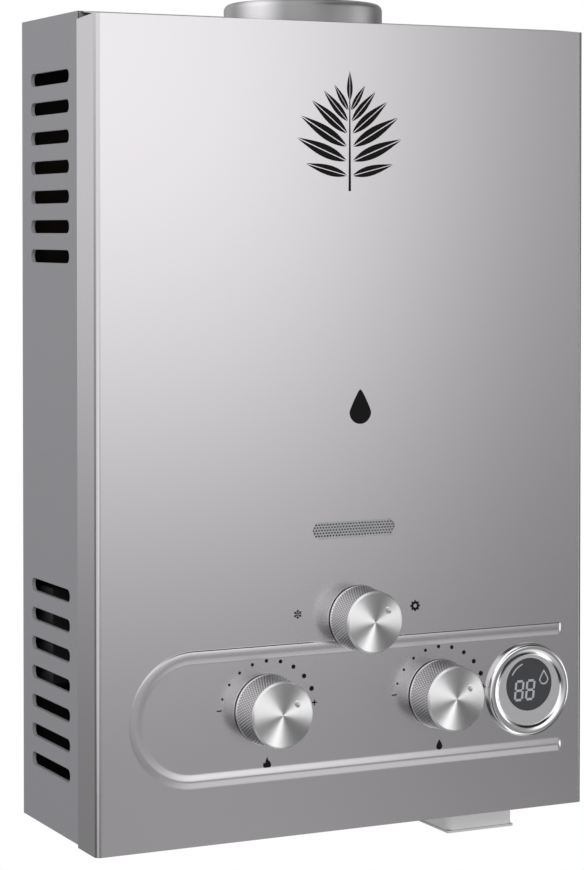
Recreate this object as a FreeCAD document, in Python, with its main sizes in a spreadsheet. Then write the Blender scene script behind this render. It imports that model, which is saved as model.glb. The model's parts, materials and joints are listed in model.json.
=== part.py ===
import FreeCAD, Part
import math
import os
import re
import Sketcher

# A wall-hung, flue-type instantaneous gas water heater.
#
# Frame: X to the right as one faces the front, Y into the wall, Z up.  The origin lies on the
# wall, midway between the two upper wall holes.  The sheet "Sizes" holds the driving dimensions
# in millimetres and degrees, and the sheet "Places" works out where the pieces meet.

SIZES = {
    # Casing: folded sheet, open at the front.
    "casing_width": 430,
    "casing_height": 638.6,
    "casing_depth": 146,
    "casing_sheet": 0.8,
    "lip_width": 12,
    "lip_notch": 14,
    "panel_gap": 0.2,
    "panel_flange": 10,
    "hanger_drop": 45,
    "wall_hole_spacing": 100,
    "wall_hole_radius": 4,
    "hanger_length": 160,
    "hanger_height": 36,
    "hanger_sheet": 1.5,
    "tab_length": 150,
    "tab_drop": 24,
    "tab_hole_drop": 13,
    "rivet_radius": 1.6,
    "rivet_head_radius": 3.2,
    "rivet_head_height": 1.2,
    "drill_reach": 6,
    # Louvre slots in the side walls.
    "slot_length": 84,
    "slot_height": 11,
    "slot_corner": 3.5,
    "slot_pitch": 23.25,
    "slot_rows": 7,
    "slot_inset": 20,
    "lower_slots_height": 49.2,
    "upper_slots_drop": 187.5,
    # Front cover.
    "cover_reach": 14,
    "cover_top_step": 4.3,
    "cover_sheet": 0.8,
    "cover_gap": 0.2,
    "cover_drop": 1.7,
    "cover_bend": 2.6,
    "cover_side_return": 37.3,
    "cover_foot_return": 32,
    "cover_top_dip": 2.2,
    "screw_inset": 22,
    "cover_screw_inset": 23,
    "cover_screw_radius": 2,
    "screw_head_radius": 4,
    "screw_head_height": 2.2,
    "screw_clearance": 0.1,
    # Raised rib round the lower controls.
    "rib_radius": 52.5,
    "rib_width": 10.6,
    "rib_proud": 1.8,
    "rib_slope": 40,
    "rib_centre_x": -136,
    "rib_end_inset": 20,
    # Perforated window strip.
    "window_x": 3,
    "window_height_up": 237.6,
    "window_length": 73,
    "window_width": 13.7,
    "window_margin": 5,
    "mesh_hole_radius": 0.72,
    "mesh_pitch": 2.55,
    # Controls.
    "gas_knob_x": -73,
    "water_knob_x": 80.4,
    "season_knob_x": 7,
    "lower_knob_height": 101,
    "season_knob_height": 167,
    "large_knob_base": 27.8,
    "large_knob_face": 26,
    "small_knob_base": 26,
    "small_knob_face": 24.4,
    "knob_stand": 28.7,
    "knob_skirt_gap": 2.6,
    "knob_wall": 1.4,
    "knob_face_wall": 2.1,
    "knob_bore_stop": 4.2,
    "knob_hub_gap": 5.2,
    "knob_chamfer": 1.3,
    "knob_hub_radius": 6,
    "spindle_radius": 3,
    "spindle_hole_radius": 5.5,
    "press_clearance": 0.02,
    "running_clearance": 0.05,
    "plug_radius": 8,
    "plug_length": 22,
    "plug_port_radius": 3,
    # Round display.
    "display_inset": 52.5,
    "display_height": 97.8,
    "bezel_radius": 38,
    "bezel_band": 5.6,
    "bezel_proud": 5,
    "bezel_edge": 2,
    "bezel_slope": 1.7,
    "bezel_crown": 1.6,
    "bezel_spigot_radius": 30,
    "face_sheet": 1.5,
    "face_sink": 1.6,
    "lens_radius": 21.6,
    "lens_rise": 4.6,
    "lens_thickness": 1.6,
    "board_thickness": 1.6,
    "board_edge": 3.2,
    "glass_width": 30,
    "glass_height": 26,
    "glass_thickness": 2.4,
    "display_housing_depth": 18,
    "plastic_wall": 1.6,
    # Flue.
    "flue_back": 75,
    "collar_radius": 64.5,
    "collar_stand": 16.2,
    "collar_rim": 3,
    "collar_rim_cut": 0.9,
    "collar_step": 2,
    "collar_step_rise": 1,
    "collar_clearance": 1.2,
    "flue_sheet": 0.8,
    "hood_height": 68,
    "hood_top_length": 150,
    "hood_margin": 2,
    "hood_top_drop": 12,
    # Heat exchanger.
    "exchanger_length": 312,
    "exchanger_depth": 110,
    "chamber_gap": 13.3,
    "coil_wall_gap": 0.9,
    "exchanger_sheet": 1,
    "fin_end_gap": 5,
    "fin_pitch": 9,
    "fin_sheet": 0.6,
    "fin_height": 52,
    "fin_drop": 14,
    "fin_edge_gap": 0.3,
    "fin_tube_wall": 1,
    "tube_overhang": 6,
    "fin_tube_inset": 14,
    "tube_clearance": 0.05,
    "pipe_radius": 7,
    "pipe_wall": 1,
    "pipe_bend": 15,
    "coil_side_gap": 22,
    "coil_stand_off": 0.3,
    "coil_low": 62,
    "coil_pitch": 62,
    "hot_pipe_inset": 18,
    "hot_nipple_inset": 45,
    "bracket_length": 30,
    "bracket_height": 20,
    "bracket_x": 110,
    "bracket_sheet": 1.5,
    # Burner.
    "burner_height_up": 205,
    "burner_height": 57,
    "burner_length": 300,
    "burner_depth": 92,
    "burner_back": 20,
    "burner_sheet": 1,
    "blade_count": 14,
    "blade_pitch": 20,
    "blade_thickness": 13,
    "blade_height": 42,
    "blade_gap": 4,
    "port_width": 2,
    "port_depth": 4,
    "sill_margin": 12,
    "throat_radius": 5,
    "throat_wall": 0.8,
    "throat_reach": 6.4,
    "throat_height": 17,
    "throat_depth": 46,
    "manifold_height": 16,
    "manifold_depth": 16,
    "nozzle_gap": 1,
    "manifold_overhang": 8,
    "manifold_bore": 5,
    "nozzle_radius": 3,
    "nozzle_bore": 0.8,
    "nozzle_tap_radius": 1.6,
    "nozzle_length": 4.6,
    # Gas and water valves on one stem.
    "valve_depth": 104,
    "valve_thickness": 58,
    "valve_height": 50,
    "stem_back": 62,
    "stem_radius": 3,
    "stem_lift": 3,
    "gas_valve_left": 40,
    "gas_valve_right": 44,
    "gas_chamber_radius": 12,
    "gas_seat_radius": 8,
    "gas_seat_depth": 26,
    "stem_guide_length": 8,
    "gas_disc_radius": 10,
    "gas_disc_thickness": 3,
    "end_plug_depth": 8,
    "end_plug_head": 5,
    "end_plug_head_radius": 15,
    "spring_radius": 6,
    "spring_wire": 0.6,
    "spring_turns": 7,
    "inlet_bore": 5,
    "outlet_bore": 6,
    "water_valve_left": 46,
    "water_valve_right": 32,
    "diaphragm_radius": 38,
    "diaphragm_thickness": 1.5,
    "flange_thickness": 12,
    "chamber_radius": 29,
    "chamber_depth": 6,
    "valve_cover_thickness": 12.5,
    "hub_radius": 10,
    "hub_length": 14,
    "stem_plate_radius": 22,
    "stem_plate_thickness": 2,
    "trip_disc_radius": 22,
    "trip_disc_thickness": 2,
    "seal_radius": 1,
    "seal_recess_radius": 5.4,
    "seal_recess_depth": 3,
    "clamp_screw_count": 6,
    "clamp_circle_radius": 33.5,
    "clamp_screw_radius": 2,
    "clamp_head_radius": 3.6,
    "clamp_head_height": 2.6,
    "clamp_screw_bite": 6,
    "switch_length": 16,
    "switch_width": 10,
    "switch_height": 12,
    "switch_rise": 12.5,
    "switch_pin_radius": 1.2,
    "switch_pin_depth": 8,
    "coil_can_radius": 15,
    "coil_can_height": 34,
    "coil_can_x": 25,
    "coil_can_back": 87,
    "armature_radius": 5,
    "armature_length": 26,
    "armature_rest": 5,
    "armature_travel": 2.5,
    "armature_headroom": 3,
    "water_outlet_offset": 17.6,
    # Season valve on the way from the gas valve to the manifold.
    "season_valve_width": 40,
    "season_valve_height": 36,
    "season_valve_depth": 36,
    "season_valve_reach": 8,
    "season_boss_radius": 8,
    # Threaded connections through the bottom panel.
    "nipple_drop": 18,
    "nipple_radius": 10.4,
    "nipple_bore": 6.5,
    "thread_relief": 0.2,
    "nipple_neck_radius": 8.5,
    "nipple_neck_rise": 20,
    "nipple_flange_radius": 14,
    "nipple_flange": 3,
    "gas_nipple_back": 88,
    "nut_across": 27,
    "nut_height": 7,
    "nut_clearance": 0.1,
    "drain_inset": 21.6,
    "drain_back": 85,
    "drain_radius": 5,
    "drain_cap_radius": 9,
    "drain_cap_height": 13,
    "drain_bite": 6.2,
    # Battery box below the bottom panel.
    "battery_box_inset": 77,
    "battery_box_width": 62,
    "battery_box_gap": 0.5,
    "battery_box_depth": 56,
    "battery_box_drop": 22,
    "battery_box_rise": 11,
    "battery_box_corner": 6,
    "lid_thickness": 2,
    "lid_gap": 0.3,
    "lid_pin_radius": 1.2,
    "lid_knuckle_radius": 2.6,
    "lid_pivot_back": 4,
    "lid_ear_thickness": 4,
    "lid_ear_rise": 7.8,
    "lid_ear_shoulder": 3.9,
    "lid_tongue_length": 34,
    "cell_radius": 13.1,
    "cell_length": 50,
    "cell_gap": 0.4,
    "pole_radius": 3.9,
    "pole_height": 2,
    "contact_sheet": 0.5,
    "contact_width": 13,
    "contact_link_length": 39,
    # Electrics.
    "controller_length": 80,
    "controller_height": 76,
    "controller_depth": 40,
    "controller_inset": 10,
    "controller_height_up": 112,
    "electrode_radius": 2.5,
    "electrode_length": 22,
    "electrode_wire": 0.8,
    "electrode_tip": 14,
    "electrode_spacing": 24,
    "lead_radius": 1.3,
    "lead_bend": 5,
    "lead_spread": 5,
    "lead_pitch": 20,
    "lead_back": 20,
    "lead_front_gap": 7,
    "probe_radius": 3,
    "probe_length": 14,
}

PLACES = {
    # Heights are counted from the foot of the casing or the foot of the cover.
    "foot": "hanger_drop - casing_height",
    "head": "hanger_drop",
    "cover_foot": "foot - cover_drop",
    "cover_head": "head - cover_top_step",
    "cover_height": "cover_head - cover_foot",
    "cover_depth": "casing_depth + cover_reach",
    "inner_half": "casing_width / 2 - casing_sheet",
    "cover_half": "casing_width / 2 + cover_gap + cover_sheet",
    "cover_inner_half": "casing_width / 2 + cover_gap",
    "front": "-cover_depth",
    "front_inside": "cover_sheet - cover_depth",
    "back_inside": "-casing_sheet",
    "knob_z": "cover_foot + lower_knob_height",
    "season_z": "cover_foot + season_knob_height",
    "window_z": "cover_foot + window_height_up",
    "display_z": "cover_foot + display_height",
    "hanger_face": "-casing_sheet - hanger_sheet",
    "cover_lap": "cover_side_return - cover_depth",
    "upper_slots_height": "casing_height - upper_slots_drop",
    "cover_screw_x": "casing_width / 2 - cover_screw_inset",
    "rib_end_x": "casing_width / 2 - rib_end_inset",
    "display_x": "casing_width / 2 - display_inset",
    # Flue and heat exchanger.
    "hood_top": "head - hood_top_drop",
    "hood_top_depth": "(collar_radius + hood_margin) * 2",
    "shell_top": "hood_top - hood_height",
    "shell_foot": "burner_foot + burner_height + chamber_gap",
    "exchanger_height": "shell_top - shell_foot",
    "exchanger_back": "casing_sheet + coil_wall_gap + pipe_radius * 2 + coil_stand_off",
    "shell_back": "-exchanger_back",
    "shell_front": "-exchanger_back - exchanger_depth",
    "fin_count": "floor((exchanger_length - 2 * (exchanger_sheet + fin_end_gap)) / fin_pitch) + 1",
    "fin_tube_z": "shell_top - fin_drop - fin_height / 2",
    "first_tube_y": "shell_back - fin_tube_inset",
    "last_tube_y": "shell_front + fin_tube_inset",
    "tube_pitch": "(first_tube_y - last_tube_y) / 3",
    "fin_tube_radius": "pipe_radius + tube_clearance + fin_tube_wall",
    "coil_back_y": "shell_back + coil_stand_off + pipe_radius",
    "coil_front_y": "shell_front - coil_stand_off - pipe_radius",
    "coil_reach": "exchanger_length / 2 + coil_side_gap",
    "hot_pipe_x": "hot_pipe_inset - casing_width / 2",
    "hot_nipple_x": "hot_nipple_inset - casing_width / 2",
    # Burner.
    "burner_foot": "cover_foot + burner_height_up",
    "burner_front": "-burner_back - burner_depth",
    "throat_z": "burner_foot + throat_height",
    "throat_mouth_y": "burner_front - throat_reach",
    "manifold_foot": "throat_z - manifold_height / 2",
    "manifold_back": "nozzle_gap + nozzle_length - throat_mouth_y",
    "manifold_y": "-manifold_back - manifold_depth / 2",
    # Valves.
    "valve_foot": "knob_z - valve_height / 2",
    "valve_head": "knob_z + valve_height / 2",
    "stem_y": "-stem_back",
    "valve_front": "-valve_depth",
    "gas_left_x": "gas_knob_x - gas_valve_left",
    "gas_right_x": "gas_knob_x + gas_valve_right",
    "gas_seat_x": "gas_right_x - gas_seat_depth",
    "gas_outlet_x": "gas_seat_x + (gas_seat_depth - stem_guide_length) / 2",
    "water_flange_x": "water_knob_x - water_valve_left",
    "diaphragm_x": "water_flange_x - flange_thickness - diaphragm_thickness",
    "valve_cover_x": "diaphragm_x - valve_cover_thickness",
    "hub_x": "valve_cover_x - hub_length",
    "switch_z": "knob_z + switch_rise",
    "trip_disc_x": "(gas_right_x + hub_x - trip_disc_thickness) / 2",
    "coil_can_axis_x": "gas_knob_x - coil_can_x",
    "water_outlet_x": "water_knob_x + water_outlet_offset",
    "season_boss_y": "manifold_y",
    "season_valve_front": "manifold_back + manifold_depth + season_valve_reach",
    "drain_x": "water_flange_x + drain_inset",
    # Battery box.
    "box_foot": "cover_foot - battery_box_drop",
    "box_top": "cover_foot + battery_box_rise",
    "battery_box_x": "casing_width / 2 - battery_box_inset",
    "battery_box_front": "cover_depth - cover_foot_return - battery_box_gap",
    "box_left_x": "battery_box_x - battery_box_width / 2",
    "box_right_x": "battery_box_x + battery_box_width / 2",
    "box_front": "-battery_box_front",
    "box_back": "battery_box_depth - battery_box_front",
    "lid_top": "box_foot + lid_thickness",
    "lid_pivot_y": "box_back + lid_pivot_back",
    "lid_pivot_z": "box_foot + lid_knuckle_radius",
    "cell_z": "lid_top + lid_gap + cell_gap + cell_radius",
    "cell_front_y": "(box_front + box_back - cell_length) / 2",
    "cell_back_y": "(box_front + box_back + cell_length) / 2",
    # Electrics.
    "controller_x": "controller_inset - casing_width / 2",
    "controller_foot": "cover_foot + controller_height_up",
    "controller_top": "controller_foot + controller_height",
    "controller_right_x": "controller_x + controller_length",
    "electrode_z": "burner_foot + burner_height + electrode_radius",
    "electrode_end_y": "burner_front - electrode_length / 2",
    "probe_y": "last_tube_y + pipe_radius + probe_radius + coil_stand_off",
    "lead_side_x": "-burner_length / 2 - lead_spread * 2",
    "lead_front": "lead_front_gap - electrode_end_y",
}

doc = FreeCAD.newDocument("water_heater")
VECTOR = FreeCAD.Vector
TURNS = {
    "+X": FreeCAD.Rotation(VECTOR(0, 1, 0), 90),
    "-X": FreeCAD.Rotation(VECTOR(0, 1, 0), -90),
    "+Y": FreeCAD.Rotation(VECTOR(1, 0, 0), -90),
    "-Y": FreeCAD.Rotation(VECTOR(1, 0, 0), 90),
    "+Z": FreeCAD.Rotation(),
    "-Z": FreeCAD.Rotation(VECTOR(1, 0, 0), 180),
}
SCRATCH_CELL = "D1"
nodes = []


# ---- sheets and rules ------------------------------------------------------------------------

def rule(text):
    """A formula in size and place names, as an expression on the two sheets."""
    def reference(match):
        word = match.group(0)
        if word in SIZES:
            return "Sizes." + word
        if word in PLACES:
            return "Places." + word
        return word
    return re.sub(r"[a-z][a-z_0-9]*", reference, str(text))


def make_sheet(name, cells):
    """A spreadsheet with one named cell for each entry."""
    sheet = doc.addObject("Spreadsheet::Sheet", name)
    for row, (alias, content) in enumerate(cells.items(), start=1):
        sheet.set("A%d" % row, alias)
        sheet.set("B%d" % row, str(content))
        sheet.setAlias("B%d" % row, alias)
    return sheet


make_sheet("Sizes", SIZES)
places = make_sheet("Places", {name: "=" + rule(text) for name, text in PLACES.items()})
doc.recompute()


def value(text):
    """What a rule comes to with the sizes as they stand."""
    places.set(SCRATCH_CELL, "=" + rule(text))
    places.recompute()
    return float(places.get(SCRATCH_CELL))


# ---- primitives and booleans -----------------------------------------------------------------

def place(thing, at, direction="+Z"):
    """Puts a thing's own origin at the point that three rules give, its Z along a direction."""
    thing.Placement = FreeCAD.Placement(VECTOR(), TURNS[direction])
    for axis, text in zip("xyz", at):
        thing.setExpression("Placement.Base." + axis, rule(text))
    return thing


def slab(name, low, span):
    """A box from its low corner and its three lengths."""
    solid = doc.addObject("Part::Box", name)
    for field, text in zip(("Length", "Width", "Height"), span):
        solid.setExpression(field, rule(text))
    return place(solid, low)


def rod(name, start, direction, radius, length):
    """A cylinder from its start point along a direction."""
    solid = doc.addObject("Part::Cylinder", name)
    solid.setExpression("Radius", rule(radius))
    solid.setExpression("Height", rule(length))
    return place(solid, start, direction)


def hexagon(name, start, direction, across, length):
    """A hexagonal prism, as wide across its flats as the rule says."""
    solid = doc.addObject("Part::Prism", name)
    solid.Polygon = 6
    solid.setExpression("Circumradius", rule("(%s) / sqrt(3)" % across))
    solid.setExpression("Height", rule(length))
    return place(solid, start, direction)


def fused(name, parts):
    solid = doc.addObject("Part::MultiFuse", name)
    solid.Shapes = parts
    return solid


def cut(name, base, tools):
    """The base less one tool or several."""
    solid = doc.addObject("Part::Cut", name)
    solid.Base = base
    solid.Tool = tools[0] if len(tools) == 1 else fused(name + "_tools", tools)
    return solid


def group(name, parts):
    """Separate solids that share one node."""
    compound = doc.addObject("Part::Compound", name)
    compound.Links = parts
    return compound


def mirrored(name, source):
    """The source's mirror image across the middle plane."""
    image = doc.addObject("Part::Mirroring", name)
    image.Source = source
    image.Normal = VECTOR(1, 0, 0)
    return image


def shaped(name, shape):
    """A piece whose shape is worked out from the sheets in code."""
    piece = doc.addObject("Part::Feature", name)
    piece.Shape = shape
    return piece


def node(piece):
    """Marks a piece as a finished sub-part, which takes its file name from its name."""
    nodes.append(piece)
    return piece


# ---- bodies from sketches --------------------------------------------------------------------

def new_body(name):
    return doc.addObject("PartDesign::Body", name)


def sketch_on(body, name, plane, offset="0"):
    """A sketch on one of the body's origin planes, moved along the plane's normal."""
    sketch = body.newObject("Sketcher::SketchObject", name)
    support = [item for item in body.Origin.OriginFeatures if item.Role == plane][0]
    sketch.AttachmentSupport = [(support, "")]
    sketch.MapMode = "FlatFace"
    sketch.setExpression("AttachmentOffset.Base.z", rule(offset))
    return sketch


def pin(sketch, index, end, across, along):
    """Ties one point of a sketch to the place that two rules give."""
    for kind, text, axis in (("DistanceX", across, -2), ("DistanceY", along, -1)):
        if text == "0":
            sketch.addConstraint(Sketcher.Constraint("PointOnObject", index, end, axis))
            continue
        tie = sketch.addConstraint(Sketcher.Constraint(kind, -1, 1, index, end, value(text)))
        sketch.setExpression("Constraints[%d]" % tie, rule(text))


def draw_outline(sketch, corners):
    """A closed outline of straight lines through corners given by pairs of rules."""
    first = sketch.GeometryCount
    points = [VECTOR(value(across), value(along), 0) for across, along in corners]
    count = len(points)
    for index in range(count):
        sketch.addGeometry(Part.LineSegment(points[index], points[(index + 1) % count]), False)
    for index in range(count):
        following = first + (index + 1) % count
        sketch.addConstraint(Sketcher.Constraint("Coincident", first + index, 2, following, 1))
    for index, (across, along) in enumerate(corners):
        pin(sketch, first + index, 1, across, along)


def draw_circle(sketch, across, along, radius):
    """A circle whose centre and radius follow rules."""
    centre = VECTOR(value(across), value(along), 0)
    index = sketch.addGeometry(Part.Circle(centre, VECTOR(0, 0, 1), value(radius)), False)
    pin(sketch, index, 3, across, along)
    tie = sketch.addConstraint(Sketcher.Constraint("Radius", index, value(radius)))
    sketch.setExpression("Constraints[%d]" % tie, rule(radius))


def draw_rounded(sketch, low, high, radius):
    """A rectangle between two corners, with round corners of one radius."""
    (left, foot), (right, top) = low, high
    round_by = value(radius)
    west, south, east, north = value(left), value(foot), value(right), value(top)
    sides = [
        ((west + round_by, south), (east - round_by, south)),
        ((east, south + round_by), (east, north - round_by)),
        ((east - round_by, north), (west + round_by, north)),
        ((west, north - round_by), (west, south + round_by)),
    ]
    centres = [
        (east - round_by, south + round_by, -90),
        (east - round_by, north - round_by, 0),
        (west + round_by, north - round_by, 90),
        (west + round_by, south + round_by, 180),
    ]
    lines = []
    arcs = []
    for (start, end), (across, along, angle) in zip(sides, centres):
        lines.append(sketch.addGeometry(Part.LineSegment(VECTOR(*start), VECTOR(*end)), False))
        circle = Part.Circle(VECTOR(across, along, 0), VECTOR(0, 0, 1), round_by)
        arc = Part.ArcOfCircle(circle, math.radians(angle), math.radians(angle + 90))
        arcs.append(sketch.addGeometry(arc, False))
    for index in range(4):
        following = lines[(index + 1) % 4]
        sketch.addConstraint(Sketcher.Constraint("Tangent", lines[index], 2, arcs[index], 1))
        sketch.addConstraint(Sketcher.Constraint("Tangent", arcs[index], 2, following, 1))
        kind = "Horizontal" if index % 2 == 0 else "Vertical"
        sketch.addConstraint(Sketcher.Constraint(kind, lines[index]))
    for index in range(1, 4):
        sketch.addConstraint(Sketcher.Constraint("Equal", arcs[0], arcs[index]))
    ties = (
        (Sketcher.Constraint("Radius", arcs[0], round_by), radius),
        (Sketcher.Constraint("DistanceY", -1, 1, lines[0], 1, south), foot),
        (Sketcher.Constraint("DistanceX", -1, 1, lines[1], 1, east), right),
        (Sketcher.Constraint("DistanceY", -1, 1, lines[2], 1, north), top),
        (Sketcher.Constraint("DistanceX", -1, 1, lines[3], 1, west), left),
    )
    for constraint, text in ties:
        tie = sketch.addConstraint(constraint)
        sketch.setExpression("Constraints[%d]" % tie, rule(text))


def pad(body, sketch, length, both_ways=False):
    """Adds a sketch's outline to the body, along the sketch's normal or to both sides of it."""
    feature = body.newObject("PartDesign::Pad", sketch.Name + "_pad")
    feature.Profile = sketch
    feature.setExpression("Length", rule(length))
    feature.Midplane = both_ways
    return feature


def pocket(body, sketch, length, both_ways=False, forward=False):
    """Cuts a sketch's outline from the body: against its normal, along it, or to both sides."""
    feature = body.newObject("PartDesign::Pocket", sketch.Name + "_pocket")
    feature.Profile = sketch
    feature.setExpression("Length", rule(length))
    feature.Midplane = both_ways
    feature.Reversed = forward
    return feature


def round_edges(body, base, name, chosen, radius):
    """Rounds the base feature's edges for which chosen says yes."""
    doc.recompute()
    edges = base.Shape.Edges
    names = ["Edge%d" % (index + 1) for index, edge in enumerate(edges) if chosen(edge)]
    feature = body.newObject("PartDesign::Fillet", name)
    feature.Base = (base, names)
    feature.setExpression("Radius", rule(radius))
    return feature


def turned(name, outline, at, direction):
    """A lathe-turned body: its outline is given as pairs of rules, radius and place along."""
    body = new_body(name)
    sketch = sketch_on(body, name + "_outline", "XZ_Plane")
    draw_outline(sketch, outline)
    feature = body.newObject("PartDesign::Revolution", name + "_turning")
    feature.Profile = sketch
    feature.ReferenceAxis = (sketch, ["V_Axis"])
    feature.Angle = 360
    return place(body, at, direction)


def tube_along(points, bend, radius):
    """A solid round bar along straight runs joined by tangent arcs."""
    corners = [VECTOR(*point) for point in points]
    edges = []
    start = corners[0]
    for before, corner, after in zip(corners, corners[1:], corners[2:]):
        inward = (corner - before).normalize()
        outward = (after - corner).normalize()
        tangent = bend * (1 - inward.dot(outward)) / inward.cross(outward).Length
        arc_start = corner - inward * tangent
        arc_end = corner + outward * tangent
        across = (outward - inward).normalize()
        middle = corner + across * (math.hypot(bend, tangent) - bend)
        edges.append(Part.LineSegment(start, arc_start).toShape())
        edges.append(Part.Arc(arc_start, middle, arc_end).toShape())
        start = arc_end
    edges.append(Part.LineSegment(start, corners[-1]).toShape())
    path = Part.Wire(edges)
    lead = (corners[1] - corners[0]).normalize()
    section = Part.Wire([Part.Circle(corners[0], lead, radius).toShape()])
    return path.makePipeShell([section], True, False)


# ---- casing ----------------------------------------------------------------------------------

def draw_round_holes(body, name, places_of_holes, radius, length):
    """Round holes through a wall that faces front, drilled from the wall plane forwards."""
    sketch = sketch_on(body, name, "XZ_Plane")
    for across, along in places_of_holes:
        draw_circle(sketch, across, along, radius)
    return pocket(body, sketch, length, forward=True)


def make_rear_casing():
    """Back wall, side walls with louvre slots and front lips, folded from one sheet."""
    body = new_body("rear_casing")
    half, depth, sheet = "casing_width / 2", "-casing_depth", "casing_sheet"
    plan = sketch_on(body, "casing_plan", "XY_Plane", "foot")
    right = [
        (half, "0"),
        (half, depth),
        (half + " - lip_width", depth),
        (half + " - lip_width", depth + " + " + sheet),
        ("inner_half", depth + " + " + sheet),
        ("inner_half", "back_inside"),
    ]
    left = [("-(" + across + ")", along) for across, along in reversed(right)]
    draw_outline(plan, right + left)
    pad(body, plan, "casing_height")

    tab = sketch_on(body, "casing_tab", "XZ_Plane")
    tab_half = "tab_length / 2"
    draw_outline(tab, [
        ("-" + tab_half, "foot - tab_drop"),
        (tab_half, "foot - tab_drop"),
        (tab_half, "foot + casing_sheet"),
        ("-" + tab_half, "foot + casing_sheet"),
    ])
    pad(body, tab, sheet)

    notch = sketch_on(body, "casing_notch", "YZ_Plane")
    draw_outline(notch, [
        ("-casing_depth - cover_gap", "head - lip_notch"),
        ("cover_lap", "head - lip_notch"),
        ("cover_lap", "head + cover_gap"),
        ("-casing_depth - cover_gap", "head + cover_gap"),
    ])
    pocket(body, notch, "casing_width * 2", both_ways=True)

    hole_half = "wall_hole_spacing / 2"
    tab_hole_z = "foot - tab_hole_drop"
    draw_round_holes(body, "wall_holes", [
        ("-" + hole_half, "0"),
        (hole_half, "0"),
        ("-" + hole_half, tab_hole_z),
        (hole_half, tab_hole_z),
    ], "wall_hole_radius", "drill_reach")
    rivet_hole = "rivet_radius + screw_clearance"
    draw_round_holes(body, "rivet_holes", rivet_places(), rivet_hole, "drill_reach")

    slots = []
    for name, height in (("lower", "lower_slots_height"), ("upper", "upper_slots_height")):
        outline = sketch_on(body, name + "_slot", "YZ_Plane")
        centre = "foot + " + height
        draw_rounded(
            outline,
            ("-slot_inset - slot_length", centre + " - slot_height / 2"),
            ("-slot_inset", centre + " + slot_height / 2"),
            "slot_corner",
        )
        slots.append(pocket(body, outline, "casing_width * 2", both_ways=True))
    doc.recompute()
    rows = body.newObject("PartDesign::LinearPattern", "slot_pattern")
    rows.Originals = slots
    rows.Direction = (outline, ["V_Axis"])
    rows.setExpression("Length", rule("slot_pitch * (slot_rows - 1)"))
    rows.setExpression("Occurrences", rule("slot_rows"))
    body.Tip = rows
    return node(body)


def rivet_places():
    """Where the rivets go through the back wall: hanger plate, top panel and bottom panel."""
    across = ["-casing_width / 4", "0", "casing_width / 4"]
    top = [(place_x, "head - casing_sheet - panel_flange / 2") for place_x in across]
    foot = [(place_x, "foot + casing_sheet + panel_flange / 2") for place_x in across]
    hanger = [
        ("-hanger_length / 2 + panel_flange", "0"),
        ("hanger_length / 2 - panel_flange", "0"),
    ]
    return hanger + top + foot


def make_rivets():
    """Each rivet lies flush in the back wall and has its head on the inside."""
    rivets = []
    for index, (across, along) in enumerate(rivet_places()):
        sheet = "hanger_sheet" if index < 2 else "casing_sheet + panel_gap"
        shank = rod("rivet_shank_%d" % index, (across, "0", along), "-Y",
                    "rivet_radius", "casing_sheet + " + sheet)
        head = rod("rivet_head_%d" % index, (across, "-casing_sheet - (%s)" % sheet, along), "-Y",
                   "rivet_head_radius", "rivet_head_height")
        rivets.append(fused("rivet_%d" % index, [shank, head]))
    return node(group("casing_rivets", rivets))


def make_tray(name, level, flange_from, front):
    """A flat panel set inside the side walls, with a flange all round on its inner side."""
    half = "inner_half - panel_gap"
    back = "back_inside - panel_gap"
    plate = slab(name + "_plate", ("-(%s)" % half, front, level),
                 ("(%s) * 2" % half, "(%s) - (%s)" % (back, front), "casing_sheet"))
    rim = slab(name + "_rim", ("-(%s)" % half, front, flange_from),
               ("(%s) * 2" % half, "(%s) - (%s)" % (back, front), "panel_flange"))
    room = slab(name + "_room",
                ("-(%s) + casing_sheet" % half, "(%s) + casing_sheet" % front, flange_from),
                ("(%s) * 2 - casing_sheet * 2" % half,
                 "(%s) - (%s) - casing_sheet * 2" % (back, front), "panel_flange"))
    return fused(name + "_tray", [plate, cut(name + "_flange", rim, [room])])


def make_top_panel():
    """Closes the casing above, with an open round notch for the flue collar."""
    level = "head - casing_sheet"
    tray = make_tray("top", level, level + " - panel_flange", "cover_lap")
    notch = rod("flue_notch", ("0", "-flue_back", "hood_top"), "+Z",
                "collar_radius + collar_clearance", "hood_top_drop * 2")
    holes = rivet_hole_tools("top", "head - casing_sheet - panel_flange / 2")
    return node(cut("top_panel", tray, [notch] + holes))


def rivet_hole_tools(name, along):
    """Three drills for the rivets that hold a panel's rear flange to the back wall."""
    return [
        rod("%s_drill_%d" % (name, index), (across, "0", along), "-Y",
            "rivet_radius + screw_clearance", "drill_reach")
        for index, across in enumerate(("-casing_width / 4", "0", "casing_width / 4"))
    ]


def make_bottom_panel():
    """Closes the casing below, with holes for the connections, the drain and the battery box."""
    front = "casing_sheet + panel_gap - casing_depth"
    tray = make_tray("bottom", "foot", "foot + casing_sheet", front)
    through = "drill_reach"
    under = "foot - drill_reach / 2"
    tools = [
        rod(name + "_panel_hole", (across, along, under), "+Z",
            "nipple_radius + nut_clearance", through)
        for name, across, along in connections()
    ]
    tools.append(rod("drain_panel_hole", ("drain_x", "-drain_back", under), "+Z",
                     "drain_radius + nut_clearance", through))
    tools.append(slab("battery_panel_hole",
                      ("box_left_x - lid_gap", "box_front - lid_gap", under),
                      ("battery_box_width + lid_gap * 2", "battery_box_depth + lid_gap * 2",
                       through)))
    tools += [
        rod("cover_screw_hole_%d" % index, (across, "screw_inset - cover_depth", under), "+Z",
            "cover_screw_radius + screw_clearance", through)
        for index, across in enumerate(("-cover_screw_x", "cover_screw_x"))
    ]
    tools += rivet_hole_tools("bottom", "foot + casing_sheet + panel_flange / 2")
    return node(cut("bottom_panel", tray, tools))


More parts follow.
